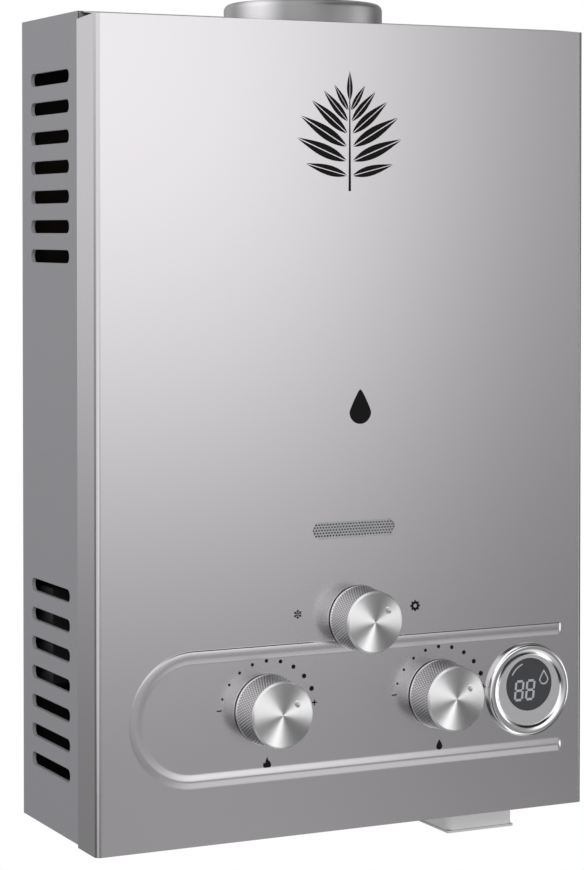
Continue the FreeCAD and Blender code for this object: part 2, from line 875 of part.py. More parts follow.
def connections():
    """The threaded connections: name, place across and place from the wall."""
    return (
        ("gas_inlet", "gas_knob_x", "-gas_nipple_back"),
        ("cold_inlet", "water_knob_x", "stem_y"),
        ("hot_outlet", "hot_nipple_x", "stem_y"),
    )


def make_hanger_plate():
    """Stiffens the back wall round the two wall holes that carry the weight."""
    plate = slab("hanger_blank", ("-hanger_length / 2", "hanger_face", "-hanger_height / 2"),
                 ("hanger_length", "hanger_sheet", "hanger_height"))
    drills = [
        rod("hanger_hole_%d" % index, (across, "0", "0"), "-Y", "wall_hole_radius",
            "drill_reach")
        for index, across in enumerate(("-wall_hole_spacing / 2", "wall_hole_spacing / 2"))
    ]
    drills += [
        rod("hanger_drill_%d" % index, (across, "0", along), "-Y",
            "rivet_radius + screw_clearance", "drill_reach")
        for index, (across, along) in enumerate(rivet_places()[:2])
    ]
    return node(cut("hanger_plate", plate, drills))


# ---- front cover -----------------------------------------------------------------------------

def draw_rib(sketch, inset):
    """The open track of the rib: two straight runs joined by a half ring on the left."""
    outer = "(rib_radius - (%s))" % inset
    inner = "(rib_radius - rib_width + (%s))" % inset
    centre_x, end = value("rib_centre_x"), value("rib_end_x - (%s)" % inset)
    centre_z = value("display_z")
    centre = VECTOR(centre_x, centre_z, 0)
    lines = []
    arcs = []
    for radius in (value(outer), value(inner)):
        circle = Part.Circle(centre, VECTOR(0, 0, 1), radius)
        quarter = math.pi / 2
        arcs.append(sketch.addGeometry(Part.ArcOfCircle(circle, quarter, 3 * quarter), False))
        for rise in (radius, -radius):
            start = VECTOR(centre_x, centre_z + rise, 0)
            finish = VECTOR(end, centre_z + rise, 0)
            lines.append(sketch.addGeometry(Part.LineSegment(start, finish), False))
    outer_top, outer_foot, inner_top, inner_foot = lines
    ends = []
    for above, below in ((outer_top, inner_top), (inner_foot, outer_foot)):
        start = sketch.getPoint(above, 2)
        finish = sketch.getPoint(below, 2)
        ends.append(sketch.addGeometry(Part.LineSegment(start, finish), False))
        sketch.addConstraint(Sketcher.Constraint("Coincident", above, 2, ends[-1], 1))
        sketch.addConstraint(Sketcher.Constraint("Coincident", ends[-1], 2, below, 2))
    for arc, top, foot in ((arcs[0], outer_top, outer_foot), (arcs[1], inner_top, inner_foot)):
        sketch.addConstraint(Sketcher.Constraint("Tangent", arc, 1, top, 1))
        sketch.addConstraint(Sketcher.Constraint("Tangent", arc, 2, foot, 1))
        sketch.addConstraint(Sketcher.Constraint("Horizontal", top))
        sketch.addConstraint(Sketcher.Constraint("Horizontal", foot))
    sketch.addConstraint(Sketcher.Constraint("Coincident", arcs[0], 3, arcs[1], 3))
    sketch.addConstraint(Sketcher.Constraint("Vertical", ends[0]))
    sketch.addConstraint(Sketcher.Constraint("Vertical", ends[1]))
    pin(sketch, arcs[0], 3, "rib_centre_x", "display_z")
    for arc, text in ((arcs[0], outer), (arcs[1], inner)):
        tie = sketch.addConstraint(Sketcher.Constraint("Radius", arc, value(text)))
        sketch.setExpression("Constraints[%d]" % tie, rule(text))
    for line in (outer_top, outer_foot):
        tie = sketch.addConstraint(Sketcher.Constraint("DistanceX", -1, 1, line, 2, end))
        sketch.setExpression("Constraints[%d]" % tie, rule("rib_end_x - (%s)" % inset))


def make_front_cover():
    """Pressed front sheet: rounded side bends, sloping top return, foot return and raised rib."""
    body = new_body("front_cover")
    lap, sheet = "cover_lap", "cover_sheet"
    plan = sketch_on(body, "cover_plan", "XY_Plane", "cover_foot")
    right = [
        ("cover_half", lap),
        ("cover_half", "front"),
    ]
    left = [("-(" + across + ")", along) for across, along in reversed(right)]
    inside_left = [("-cover_inner_half", lap), ("-cover_inner_half", "front_inside")]
    inside_right = [("cover_inner_half", "front_inside"), ("cover_inner_half", lap)]
    draw_outline(plan, right + left + inside_left + inside_right)
    sheet_metal = pad(body, plan, "cover_height")

    def outer_bend(edge):
        middle = edge.BoundBox.Center
        upright = edge.BoundBox.ZLength > value("cover_height") / 2
        return upright and middle.y < value("front") + 0.1 and abs(middle.x) > value(
            "cover_inner_half") + 0.1

    def inner_bend(edge):
        middle = edge.BoundBox.Center
        upright = edge.BoundBox.ZLength > value("cover_height") / 2
        at_corner = abs(abs(middle.x) - value("cover_inner_half")) < 0.05
        return upright and at_corner and middle.y < value("front_inside") + 0.1

    bend = round_edges(body, sheet_metal, "cover_outer_bends", outer_bend, "cover_bend")
    round_edges(body, bend, "cover_inner_bends", inner_bend, "cover_bend - cover_sheet")

    dip = sketch_on(body, "side_dip", "YZ_Plane")
    draw_outline(dip, [
        ("front + cover_bend", "cover_head"),
        (lap + " + cover_gap", "cover_head - cover_top_dip"),
        (lap + " + cover_gap", "cover_head + cover_top_dip"),
        ("front + cover_bend", "cover_head + cover_top_dip"),
    ])
    pocket(body, dip, "casing_width * 2", both_ways=True)

    top_return = sketch_on(body, "top_return", "YZ_Plane")
    draw_outline(top_return, [
        ("front + cover_sheet / 2", "cover_head - cover_sheet"),
        (lap + " - panel_gap", "head - cover_sheet"),
        (lap + " - panel_gap", "head"),
        ("front + cover_sheet / 2", "cover_head"),
    ])
    pad(body, top_return, "cover_inner_half * 2 - cover_bend * 2", both_ways=True)
    notch = sketch_on(body, "collar_notch", "XY_Plane", "cover_head + hood_top_drop")
    draw_circle(notch, "0", "-flue_back", "collar_radius + collar_clearance")
    pocket(body, notch, "hood_top_drop * 2")

    foot_return = sketch_on(body, "foot_return", "XY_Plane", "cover_foot")
    draw_outline(foot_return, [
        ("-cover_inner_half", "front + cover_sheet / 2"),
        ("cover_inner_half", "front + cover_sheet / 2"),
        ("cover_inner_half", "cover_foot_return - cover_depth"),
        ("-cover_inner_half", "cover_foot_return - cover_depth"),
    ])
    pad(body, foot_return, sheet)
    screw_holes = sketch_on(body, "cover_screw_holes", "XY_Plane", "cover_foot - cover_gap")
    for across in ("-cover_screw_x", "cover_screw_x"):
        draw_circle(screw_holes, across, "screw_inset - cover_depth",
                    "cover_screw_radius + screw_clearance")
    pocket(body, screw_holes, "cover_sheet * 2", forward=True)

    rib = sketch_on(body, "rib_track", "XZ_Plane", "cover_depth - cover_sheet / 2")
    draw_rib(rib, "0")
    ridge = pad(body, rib, "rib_proud + cover_sheet / 2")
    ridge.setExpression("TaperAngle", rule("-rib_slope"))
    groove = sketch_on(body, "rib_groove", "XZ_Plane", "cover_depth - cover_sheet")
    draw_rib(groove, "cover_sheet * 1.5")
    hollow = pocket(body, groove, "rib_proud", forward=True)
    hollow.setExpression("TaperAngle", rule("-rib_slope"))

    openings = sketch_on(body, "cover_openings", "XZ_Plane", "cover_depth + rib_proud * 2")
    for across, along in (("gas_knob_x", "knob_z"), ("water_knob_x", "knob_z"),
                          ("season_knob_x", "season_z")):
        draw_circle(openings, across, along, "spindle_hole_radius")
    draw_circle(openings, "display_x", "display_z", "bezel_spigot_radius + screw_clearance")
    draw_rounded(
        openings,
        ("window_x - window_length / 2", "window_z - window_width / 2"),
        ("window_x + window_length / 2", "window_z + window_width / 2"),
        "window_width * 0.499",
    )
    pocket(body, openings, "rib_proud * 2 + cover_sheet * 2")
    return node(body)


def make_cover_screws():
    """Two screws from below, through the cover's foot return into the bottom panel."""
    screws = []
    for name, across in (("left", "-cover_screw_x"), ("right", "cover_screw_x")):
        along = "screw_inset - cover_depth"
        head = rod(name + "_screw_head", (across, along, "cover_foot - screw_head_height"), "+Z",
                   "screw_head_radius", "screw_head_height")
        shank = rod(name + "_screw_shank", (across, along, "cover_foot"), "+Z",
                    "cover_screw_radius", "cover_drop + panel_flange / 2")
        screws.append(fused(name + "_cover_screw", [head, shank]))
    return node(group("cover_screws", screws))


def make_window_grille():
    """A perforated strip behind the window: staggered round holes in a flat plate."""
    length, width = value("window_length"), value("window_width")
    sheet, margin = value("cover_sheet"), value("window_margin")
    pitch, hole = value("mesh_pitch"), value("mesh_hole_radius")
    x, y, z = value("window_x"), value("front_inside"), value("window_z")
    plate = Part.makeBox(length + 2 * margin, sheet, width + 2 * margin,
                         VECTOR(x - length / 2 - margin, y, z - width / 2 - margin))
    row_rise = pitch * math.sqrt(3) / 2
    rows = int((width / 2 - hole) / row_rise)
    holes = []
    for row in range(-rows, rows + 1):
        rise = row * row_rise
        shift = pitch / 2 if row % 2 else 0
        straight = length / 2 - width / 2
        reach = straight + math.sqrt((width / 2) ** 2 - rise ** 2) - hole
        columns = int((reach + abs(shift)) / pitch)
        for column in range(-columns, columns + 1):
            across = column * pitch + shift
            if abs(across) > reach:
                continue
            start = VECTOR(x + across, y + 2 * sheet, z + rise)
            holes.append(Part.makeCylinder(hole, 3 * sheet, start, VECTOR(0, -1, 0)))
    return node(shaped("window_grille", plate.cut(Part.makeCompound(holes))))


# ---- controls --------------------------------------------------------------------------------

def controls():
    """The three controls: name, place across, height, knob base, knob face, valve front."""
    return (
        ("gas", "gas_knob_x", "knob_z", "large_knob_base", "large_knob_face", "valve_depth"),
        ("water", "water_knob_x", "knob_z", "large_knob_base", "large_knob_face", "valve_depth"),
        ("season", "season_knob_x", "season_z", "small_knob_base", "small_knob_face",
         "season_valve_front"),
    )


def make_knob(name, across, height, base, face):
    """A turned metal knob: tapered skirt, chamfered flat face and a hub bored for the spindle."""
    bore = "spindle_radius + press_clearance"
    inside = "knob_stand - knob_face_wall"
    bore_end = "knob_stand - knob_bore_stop"
    outline = [
        ("0", "knob_stand"),
        (face + " - knob_chamfer", "knob_stand"),
        (face, "knob_stand - knob_chamfer"),
        (base, "knob_skirt_gap"),
        (base + " - knob_wall", "knob_skirt_gap"),
        (face + " - knob_wall", inside),
        ("knob_hub_radius", inside),
        ("knob_hub_radius", "knob_hub_gap"),
        (bore, "knob_hub_gap"),
        (bore, bore_end),
        ("0", bore_end),
    ]
    return node(turned(name + "_knob", outline, (across, "front", height), "-Y"))


def make_spindle(name, across, height, valve_front):
    """A spindle with the plug that turns in its valve, and the rod that carries the knob."""
    tip = "cover_depth + knob_stand - knob_bore_stop - press_clearance"
    outline = [
        ("0", valve_front + " - plug_length"),
        ("plug_radius - running_clearance", valve_front + " - plug_length"),
        ("plug_radius - running_clearance", valve_front),
        ("spindle_radius", valve_front),
        ("spindle_radius", tip),
        ("0", tip),
    ]
    blank = turned(name + "_spindle_blank", outline, (across, "0", height), "-Y")
    port = rod(name + "_spindle_port",
               (across, "plug_length / 2 - (%s)" % valve_front, "(%s) - plug_radius * 2" % height),
               "+Z", "plug_port_radius", "plug_radius * 4")
    return node(cut(name + "_spindle", blank, [port]))


def make_controls():
    for name, across, height, base, face, valve_front in controls():
        make_knob(name, across, height, base, face)
        make_spindle(name, across, height, valve_front)


# ---- round display ---------------------------------------------------------------------------

def make_display():
    """Chrome ring, silver face with an off-centre window, dark lens, board and housing."""
    at = ("display_x", "0", "display_z")
    inner = "bezel_radius - bezel_band"
    face_front = "cover_depth + bezel_proud - face_sink"
    node(turned("display_bezel", [
        ("bezel_radius", "cover_depth"),
        ("bezel_radius", "cover_depth + bezel_edge"),
        ("bezel_radius - bezel_slope", "cover_depth + bezel_proud"),
        ("bezel_radius - bezel_slope - bezel_crown", "cover_depth + bezel_proud"),
        (inner, face_front),
        (inner, face_front + " - face_sheet"),
        ("bezel_spigot_radius - plastic_wall", face_front + " - face_sheet"),
        ("bezel_spigot_radius - plastic_wall", "cover_depth - cover_sheet"),
        ("bezel_spigot_radius", "cover_depth - cover_sheet"),
        ("bezel_spigot_radius", "cover_depth"),
    ], at, "-Y"))

    lens_z = "display_z + lens_rise"
    blank = rod("face_blank", ("display_x", "-(%s) + face_sheet" % face_front, "display_z"), "-Y",
                inner + " - press_clearance", "face_sheet")
    window = rod("face_window", ("display_x", "0", lens_z), "-Y",
                 "lens_radius + press_clearance", "cover_depth * 2")
    node(cut("display_face", blank, [window]))
    node(rod("display_lens", ("display_x", "-(%s) + lens_thickness" % face_front, lens_z), "-Y",
             "lens_radius", "lens_thickness"))

    board = rod("board_plate", ("display_x", "front_inside + board_thickness", "display_z"), "-Y",
                "bezel_radius - board_edge", "board_thickness")
    glass = slab("board_glass",
                 ("display_x - glass_width / 2", "front_inside - glass_thickness",
                  lens_z + " - glass_height / 2"),
                 ("glass_width", "glass_thickness", "glass_height"))
    node(fused("display_board", [board, glass]))

    depth = "display_housing_depth"
    shell = rod("housing_blank", ("display_x", "front_inside + " + depth, "display_z"), "-Y",
                "bezel_radius", depth)
    room = rod("housing_room",
               ("display_x", "front_inside + %s - plastic_wall" % depth, "display_z"), "-Y",
               "bezel_radius - plastic_wall", depth)
    return node(cut("display_housing", shell, [room]))


# ---- flue and heat exchanger -----------------------------------------------------------------

def make_flue_collar():
    """A ring that the flue pipe slips over down to a step, its rim curled inwards."""
    rim = "head + collar_stand"
    neck = "collar_radius - collar_step"
    return node(turned("flue_collar", [
        (neck, "hood_top"),
        (neck, "head + collar_step_rise"),
        ("collar_radius", "head + collar_step_rise"),
        ("collar_radius", rim + " - collar_rim"),
        ("collar_radius - collar_rim_cut", rim + " - collar_rim_cut"),
        ("collar_radius - collar_rim", rim),
        ("collar_radius - collar_rim", rim + " - flue_sheet"),
        (neck + " - flue_sheet", rim + " - collar_rim"),
        (neck + " - flue_sheet", "hood_top"),
    ], ("0", "-flue_back", "0"), "+Z"))


def tapered_box(name, foot_half, foot_back, head_half, head_back, foot_z, height):
    """A solid between two rectangles, each given by half its width and its reach from the wall."""
    wedge = doc.addObject("Part::Wedge", name)
    for field, text in (("Xmin", "-(%s)" % foot_half), ("Xmax", foot_half),
                        ("Zmin", foot_back[0]), ("Zmax", foot_back[1]),
                        ("X2min", "-(%s)" % head_half), ("X2max", head_half),
                        ("Z2min", head_back[0]), ("Z2max", head_back[1]),
                        ("Ymin", "0"), ("Ymax", height)):
        wedge.setExpression(field, rule(text))
    return place(wedge, ("0", "0", foot_z), "-Y")


def make_flue_hood():
    """Gathers the burnt gas from the exchanger's mouth into the collar."""
    foot_half, head_half = "exchanger_length / 2", "hood_top_length / 2"
    foot_near, foot_far = "exchanger_back", "exchanger_back + exchanger_depth"
    head_near, head_far = "flue_back - hood_top_depth / 2", "flue_back + hood_top_depth / 2"
    outer = tapered_box("hood_outside", foot_half, (foot_near, foot_far),
                        head_half, (head_near, head_far), "shell_top", "hood_height")
    more, less = " + flue_sheet", " - flue_sheet"
    inner = tapered_box("hood_inside", foot_half + less, (foot_near + more, foot_far + less),
                        head_half + less, (head_near + more, head_far + less),
                        "shell_top", "hood_height - flue_sheet")
    throat = rod("hood_throat", ("0", "-flue_back", "hood_top - flue_sheet * 2"), "+Z",
                 "collar_radius - collar_rim", "flue_sheet * 3")
    return node(cut("flue_hood", outer, [inner, throat]))


def open_box(name, low, span, wall):
    """Four walls with no floor and no lid."""
    outside = slab(name + "_outside", low, span)
    inside = slab(name + "_inside",
                  ("%s + %s" % (low[0], wall), "%s + %s" % (low[1], wall), low[2]),
                  ("%s - 2 * %s" % (span[0], wall), "%s - 2 * %s" % (span[1], wall), span[2]))
    return outside, inside


def fin_tube_ys():
    return ["first_tube_y - tube_pitch * %d" % index for index in range(4)]


def make_exchanger_shell():
    """The copper chamber over the burner, open above and below, pierced by the fin tubes."""
    outside, inside = open_box("shell", ("-exchanger_length / 2", "shell_front", "shell_foot"),
                               ("exchanger_length", "exchanger_depth", "exchanger_height"),
                               "exchanger_sheet")
    drills = [
        rod("shell_drill_%d" % index, ("-exchanger_length", along, "fin_tube_z"), "+X",
            "fin_tube_radius + tube_clearance", "exchanger_length * 2")
        for index, along in enumerate(fin_tube_ys())
    ]
    return node(cut("exchanger_shell", outside, [inside] + drills))


def make_exchanger_fins():
    """Thin copper plates threaded on the four fin tubes, evenly spaced across the chamber."""
    inset = value("exchanger_sheet + fin_edge_gap")
    depth = value("exchanger_depth") - 2 * inset
    sheet, pitch, count = value("fin_sheet"), value("fin_pitch"), int(value("fin_count"))
    first = -(count - 1) * pitch / 2
    corner = VECTOR(first - sheet / 2, value("shell_front") + inset,
                    value("shell_top - fin_drop - fin_height"))
    plate = Part.makeBox(sheet, depth, value("fin_height"), corner)
    for along in fin_tube_ys():
        start = VECTOR(first - sheet, value(along), value("fin_tube_z"))
        hole = Part.makeCylinder(value("fin_tube_radius + tube_clearance"), 2 * sheet, start,
                                 VECTOR(1, 0, 0))
        plate = plate.cut(hole)
    fins = []
    for index in range(count):
        fin = plate.copy()
        fin.translate(VECTOR(index * pitch, 0, 0))
        fins.append(fin)
    return node(shaped("exchanger_fins", Part.makeCompound(fins)))


def make_exchanger_tubes():
    """One hairpin run of tube through the fins: four straight tubes and three return bends."""
    reach = value("exchanger_length / 2 + tube_overhang")
    height = value("fin_tube_z")
    ys = [value(along) for along in fin_tube_ys()]
    bend = value("tube_pitch") / 2
    edges = []
    for index, along in enumerate(ys):
        side = 1 if index % 2 == 0 else -1
        start = VECTOR(-side * reach, along, height)
        finish = VECTOR(side * reach, along, height)
        edges.append(Part.LineSegment(start, finish).toShape())
        if index + 1 < len(ys):
            beyond = VECTOR(side * (reach + bend), along - bend, height)
            turn_end = VECTOR(side * reach, ys[index + 1], height)
            edges.append(Part.Arc(finish, beyond, turn_end).toShape())
    path = Part.Wire(edges)
    solids = []
    for radius in (value("fin_tube_radius"), value("fin_tube_radius - fin_tube_wall")):
        ring = Part.Circle(VECTOR(-reach, ys[0], height), VECTOR(1, 0, 0), radius).toShape()
        solids.append(path.makePipeShell([Part.Wire([ring])], True, False))
    return node(shaped("exchanger_tubes", solids[0].cut(solids[1])))


def make_water_pipe(name, points):
    """A copper pipe through points given as triples of rules."""
    corners = [tuple(value(text) for text in point) for point in points]
    bend, radius = value("pipe_bend"), value("pipe_radius")
    outside = tube_along(corners, bend, radius)
    inside = tube_along(corners, bend, radius - value("pipe_wall"))
    return node(shaped(name, outside.cut(inside)))


def make_water_coil():
    """Cold pipe: from the water valve, twice round the chamber, then up to the first fin tube."""
    low = "shell_foot + coil_low"
    high = low + " + coil_pitch"
    riser = "valve_head + pipe_bend * 2"
    mouth = "-exchanger_length / 2"
    return make_water_pipe("water_coil", [
        ("water_outlet_x", "stem_y", "valve_head"),
        ("water_outlet_x", "stem_y", riser),
        ("coil_reach", "stem_y", riser),
        ("coil_reach", "stem_y", low),
        ("coil_reach", "coil_front_y", low),
        ("-coil_reach", "coil_front_y", low),
        ("-coil_reach", "coil_back_y", low),
        ("coil_reach", "coil_back_y", low),
        ("coil_reach", "coil_back_y", high),
        ("coil_reach", "coil_front_y", high),
        ("-coil_reach", "coil_front_y", high),
        ("-coil_reach", "first_tube_y", high),
        ("-coil_reach", "first_tube_y", "fin_tube_z"),
        (mouth, "first_tube_y", "fin_tube_z"),
    ])


def make_hot_pipe():
    """From the last fin tube down the left side to the hot connection."""
    neck = "foot + casing_sheet + nipple_flange + nipple_neck_rise"
    return make_water_pipe("hot_pipe", [
        ("-exchanger_length / 2", "last_tube_y", "fin_tube_z"),
        ("hot_pipe_x", "last_tube_y", "fin_tube_z"),
        ("hot_pipe_x", "last_tube_y", neck + " + pipe_bend * 5"),
        ("hot_nipple_x", "stem_y", neck + " + pipe_bend * 2"),
        ("hot_nipple_x", "stem_y", neck),
    ])


def make_support_brackets():
    """Four channels that carry the chamber and the burner off the back wall."""
    brackets = []
    for level, height, back in (("chamber", "shell_foot + exchanger_height / 2", "exchanger_back"),
                                ("burner", "burner_foot + burner_height / 2", "burner_back")):
        low_z = "%s - bracket_height / 2" % height
        depth = "%s - casing_sheet" % back
        block = slab(level + "_bracket_block", ("bracket_x", "-%s" % back, low_z),
                     ("bracket_length", depth, "bracket_height"))
        room = slab(level + "_bracket_room",
                    ("bracket_x - bracket_sheet", "-%s + bracket_sheet" % back,
                     low_z + " + bracket_sheet"),
                    ("bracket_length + bracket_sheet * 2", depth + " - bracket_sheet * 2",
                     "bracket_height - bracket_sheet * 2"))
        bracket = cut(level + "_bracket", block, [room])
        brackets += [bracket, mirrored(level + "_bracket_left", bracket)]
    return node(group("support_brackets", brackets))


# ---- burner ----------------------------------------------------------------------------------

def blade_xs():
    count = int(value("blade_count"))
    return ["blade_pitch * %s" % (index - (count - 1) / 2) for index in range(count)]


def make_burner_frame():
    """Four walls round the burner blades, with a hole in the front for each blade's throat."""
    outside, inside = open_box("burner", ("-burner_length / 2", "burner_front", "burner_foot"),
                               ("burner_length", "burner_depth", "burner_height"),
                               "burner_sheet")
    drills = [
        rod("throat_hole_%d" % index, (across, "burner_front - burner_sheet", "throat_z"), "+Y",
            "throat_radius + screw_clearance", "burner_sheet * 3")
        for index, across in enumerate(blade_xs())
    ]
    sill = slab("burner_sill", ("-burner_length / 2", "burner_front", "burner_foot"),
                ("burner_length", "burner_depth", "blade_gap"))
    window = slab("burner_floor_window",
                  ("-burner_length / 2 + sill_margin", "burner_front + sill_margin",
                   "burner_foot - blade_gap"),
                  ("burner_length - sill_margin * 2", "burner_depth - sill_margin * 2",
                   "blade_gap * 3"))
    walls = cut("burner_walls", outside, [inside] + drills)
    return node(cut("burner_frame", fused("burner_shell", [walls, sill]), [window]))


def make_burner_blades():
    """Upright hollow blades: a body with a row of flame ports and a throat towards the front."""
    blades = []
    low_y = "burner_front + burner_sheet + blade_gap"
    depth = "burner_depth - burner_sheet * 2 - blade_gap * 2"
    for index, across in enumerate(blade_xs()):
        body = slab("blade_body_%d" % index,
                    ("%s - blade_thickness / 2" % across, low_y, "burner_foot + blade_gap"),
                    ("blade_thickness", depth, "blade_height"))
        slot = slab("blade_port_%d" % index,
                    ("%s - port_width / 2" % across, low_y + " + blade_gap",
                     "burner_foot + blade_gap + blade_height - port_depth"),
                    ("port_width", depth + " - blade_gap * 2", "port_depth * 2"))
        throat = rod("blade_throat_%d" % index, (across, "throat_mouth_y", "throat_z"), "+Y",
                     "throat_radius", "(%s) - throat_mouth_y + throat_wall" % low_y)
        bore = rod("blade_bore_%d" % index,
                   (across, "throat_mouth_y - throat_wall", "throat_z"), "+Y",
                   "throat_radius - throat_wall", "throat_depth")
        blades.append(cut("blade_%d" % index, fused("blade_blank_%d" % index, [body, throat]),
                          [slot, bore]))
    return node(group("burner_blades", blades))


def make_gas_manifold():
    """A drilled bar in front of the burner, with one tapped hole for each nozzle."""
    reach = "(blade_pitch * (blade_count - 1) / 2 + manifold_overhang)"
    low_y = "-manifold_back - manifold_depth"
    bar = slab("manifold_bar", ("-" + reach, low_y, "manifold_foot"),
               (reach + " * 2", "manifold_depth", "manifold_height"))
    bore = rod("manifold_gallery", ("-%s + manifold_overhang / 2" % reach, "manifold_y",
                                    "throat_z"), "+X",
               "manifold_bore", "(%s) * 2 - manifold_overhang" % reach)
    feed = rod("manifold_feed", ("season_knob_x", "manifold_y", "manifold_foot"), "+Z",
               "manifold_bore", "manifold_height / 2")
    taps = [
        rod("nozzle_tap_%d" % index, (across, "manifold_y", "throat_z"), "+Y",
            "nozzle_tap_radius", "manifold_depth")
        for index, across in enumerate(blade_xs())
    ]
    return node(cut("gas_manifold", bar, [bore, feed] + taps))


def make_gas_nozzles():
    """Brass nozzles on the manifold, one facing each burner throat."""
    nozzles = []
    for index, across in enumerate(blade_xs()):
        body = rod("nozzle_body_%d" % index, (across, "-manifold_back", "throat_z"), "+Y",
                   "nozzle_radius", "nozzle_length")
        hole = rod("nozzle_hole_%d" % index, (across, "-manifold_back - nozzle_bore", "throat_z"),
                   "+Y", "nozzle_bore", "nozzle_length * 2")
        nozzles.append(cut("nozzle_%d" % index, body, [hole]))
    return node(group("gas_nozzles", nozzles))


def make_season_valve():
    """A small tap block between the gas riser and the manifold, with a boss up to the manifold."""
    low = ("season_knob_x - season_valve_width / 2", "-season_valve_front",
           "season_z - season_valve_height / 2")
    block = slab("season_block", low,
                 ("season_valve_width", "season_valve_depth", "season_valve_height"))
    top = "season_z + season_valve_height / 2"
    boss = rod("season_boss", ("season_knob_x", "season_boss_y", "season_z"), "+Z",
               "season_boss_radius", "manifold_foot - season_z")
    seat = rod("season_seat", ("season_knob_x", "-season_valve_front", "season_z"), "+Y",
               "plug_radius", "plug_length")
    outlet = rod("season_outlet", ("season_knob_x", "season_boss_y", "season_z"), "+Z",
                 "manifold_bore", "manifold_foot - season_z")
    inlet = rod("season_inlet", ("season_knob_x - season_valve_width", "season_boss_y",
                                 "season_z"), "+X", "manifold_bore", "season_valve_width")
    return node(cut("season_valve_body", fused("season_blank", [block, boss]),
                    [seat, outlet, inlet]))


def make_gas_riser():
    """Copper pipe from the gas valve's outlet up and forward to the season valve."""
    return make_water_pipe("gas_riser", [
        ("gas_outlet_x", "stem_y", "valve_head"),
        ("gas_outlet_x", "stem_y", "season_z"),
        ("gas_outlet_x", "season_boss_y", "season_z"),
        ("season_knob_x - season_valve_width / 2", "season_boss_y", "season_z"),
    ])


# ---- gas valve -------------------------------------------------------------------------------

def make_gas_valve_body():
    """Die-cast block: cock bore, disc chamber with its seat, stem guide and solenoid well."""
    block = slab("gas_block", ("gas_left_x", "valve_front", "valve_foot"),
                 ("gas_valve_left + gas_valve_right", "valve_thickness", "valve_height"))
    cock = rod("gas_cock_bore", ("gas_knob_x", "valve_front", "knob_z"), "+Y",
               "plug_radius", "plug_length")
    cross = rod("gas_cross_bore", ("gas_knob_x", "valve_front + plug_length", "knob_z"), "+Y",
                "inlet_bore", "valve_depth - plug_length - stem_back")
    chamber = rod("gas_chamber", ("gas_left_x", "stem_y", "knob_z"), "+X",
                  "gas_chamber_radius", "gas_seat_x - gas_left_x")
    seat = rod("gas_seat", ("gas_seat_x", "stem_y", "knob_z"), "+X",
               "gas_seat_radius", "gas_seat_depth - stem_guide_length")
    guide = rod("gas_stem_guide", ("gas_seat_x", "stem_y", "knob_z"), "+X",
                "stem_radius + running_clearance", "gas_seat_depth * 2")
    inlet = rod("gas_inlet_bore", ("gas_knob_x", "-gas_nipple_back", "valve_foot"), "+Z",
                "inlet_bore", "valve_height / 2")
    outlet = rod("gas_outlet_bore", ("gas_outlet_x", "stem_y", "knob_z"), "+Z",
                 "outlet_bore", "valve_height")
    well = rod("solenoid_well", ("coil_can_axis_x", "-coil_can_back",
                                 "valve_head - armature_rest"), "+Z",
               "armature_radius + running_clearance", "valve_height")
    port = rod("solenoid_port", ("coil_can_axis_x", "-coil_can_back", "knob_z"), "+Z",
               "plug_port_radius", "valve_height")
    crossing = rod("solenoid_crossing", ("coil_can_axis_x", "-coil_can_back", "knob_z"), "+X",
                   "plug_port_radius", "coil_can_x")
    return node(cut("gas_valve_body", block, [cock, cross, chamber, seat, guide, inlet, outlet,
                                              well, port, crossing]))


def make_gas_valve_plug():
    """Closes the disc chamber at its left end and backs the spring."""
    head = hexagon("end_plug_head_block", ("gas_left_x", "stem_y", "knob_z"), "-X",
                   "end_plug_head_radius * 2", "end_plug_head")
    stub = rod("end_plug_stub", ("gas_left_x", "stem_y", "knob_z"), "+X",
               "gas_chamber_radius - running_clearance", "end_plug_depth")
    return node(fused("gas_valve_plug", [head, stub]))


def make_gas_valve_spring():
    """Holds the gas disc on its seat: an open coil between the disc and the end plug."""
    radius, wire = value("spring_radius"), value("spring_wire")
    start = value("gas_left_x + end_plug_depth") + wire
    length = value("gas_seat_x - gas_disc_thickness") - wire - start
    helix = Part.makeHelix(length / value("spring_turns"), length, radius)
    section = Part.Wire([Part.Circle(VECTOR(radius, 0, 0), VECTOR(0, 1, 0), wire).toShape()])
    spring = Part.Wire(helix.Edges).makePipeShell([section], True, True)
    piece = shaped("gas_valve_spring", spring)
    piece.Placement = FreeCAD.Placement(VECTOR(start, value("stem_y"), value("knob_z")),
                                        TURNS["+X"])
    return node(piece)


def make_gas_valve_disc():
    """The disc that shuts the gas seat; the stem lifts it against the spring."""
    return node(rod("gas_valve_disc", ("gas_seat_x - gas_disc_thickness", "stem_y", "knob_z"),
                    "+X", "gas_disc_radius", "gas_disc_thickness"))


def make_valve_stem():
    """One turned rod: pressure plate, guide rod, trip disc for the switch and a pushing end."""
    plate_x = "(diaphragm_x - stem_plate_thickness)"
    return node(turned("valve_stem", [
        ("0", "gas_seat_x"),
        ("stem_radius", "gas_seat_x"),
        ("stem_radius", "trip_disc_x"),
        ("trip_disc_radius", "trip_disc_x"),
        ("trip_disc_radius", "trip_disc_x + trip_disc_thickness"),
        ("stem_radius", "trip_disc_x + trip_disc_thickness"),
        ("stem_radius", plate_x),
        ("stem_plate_radius", plate_x),
        ("stem_plate_radius", "diaphragm_x"),
        ("0", "diaphragm_x"),
    ], ("0", "stem_y", "knob_z"), "+X"))


def make_solenoid():
    """The coil can on the gas valve, and the armature that slides in its well."""
    at = ("coil_can_axis_x", "-coil_can_back", "valve_head")
    can = rod("coil_can", at, "+Z", "coil_can_radius", "coil_can_height")
    rest_top = "armature_length - armature_rest"
    well = rod("coil_well", at, "+Z", "armature_radius + running_clearance",
               rest_top + " + armature_travel + armature_headroom")
    node(cut("solenoid_coil", can, [well]))
    node(rod("solenoid_armature", ("coil_can_axis_x", "-coil_can_back",
                                   "valve_head - armature_rest"), "+Z",
             "armature_radius", "armature_length"))


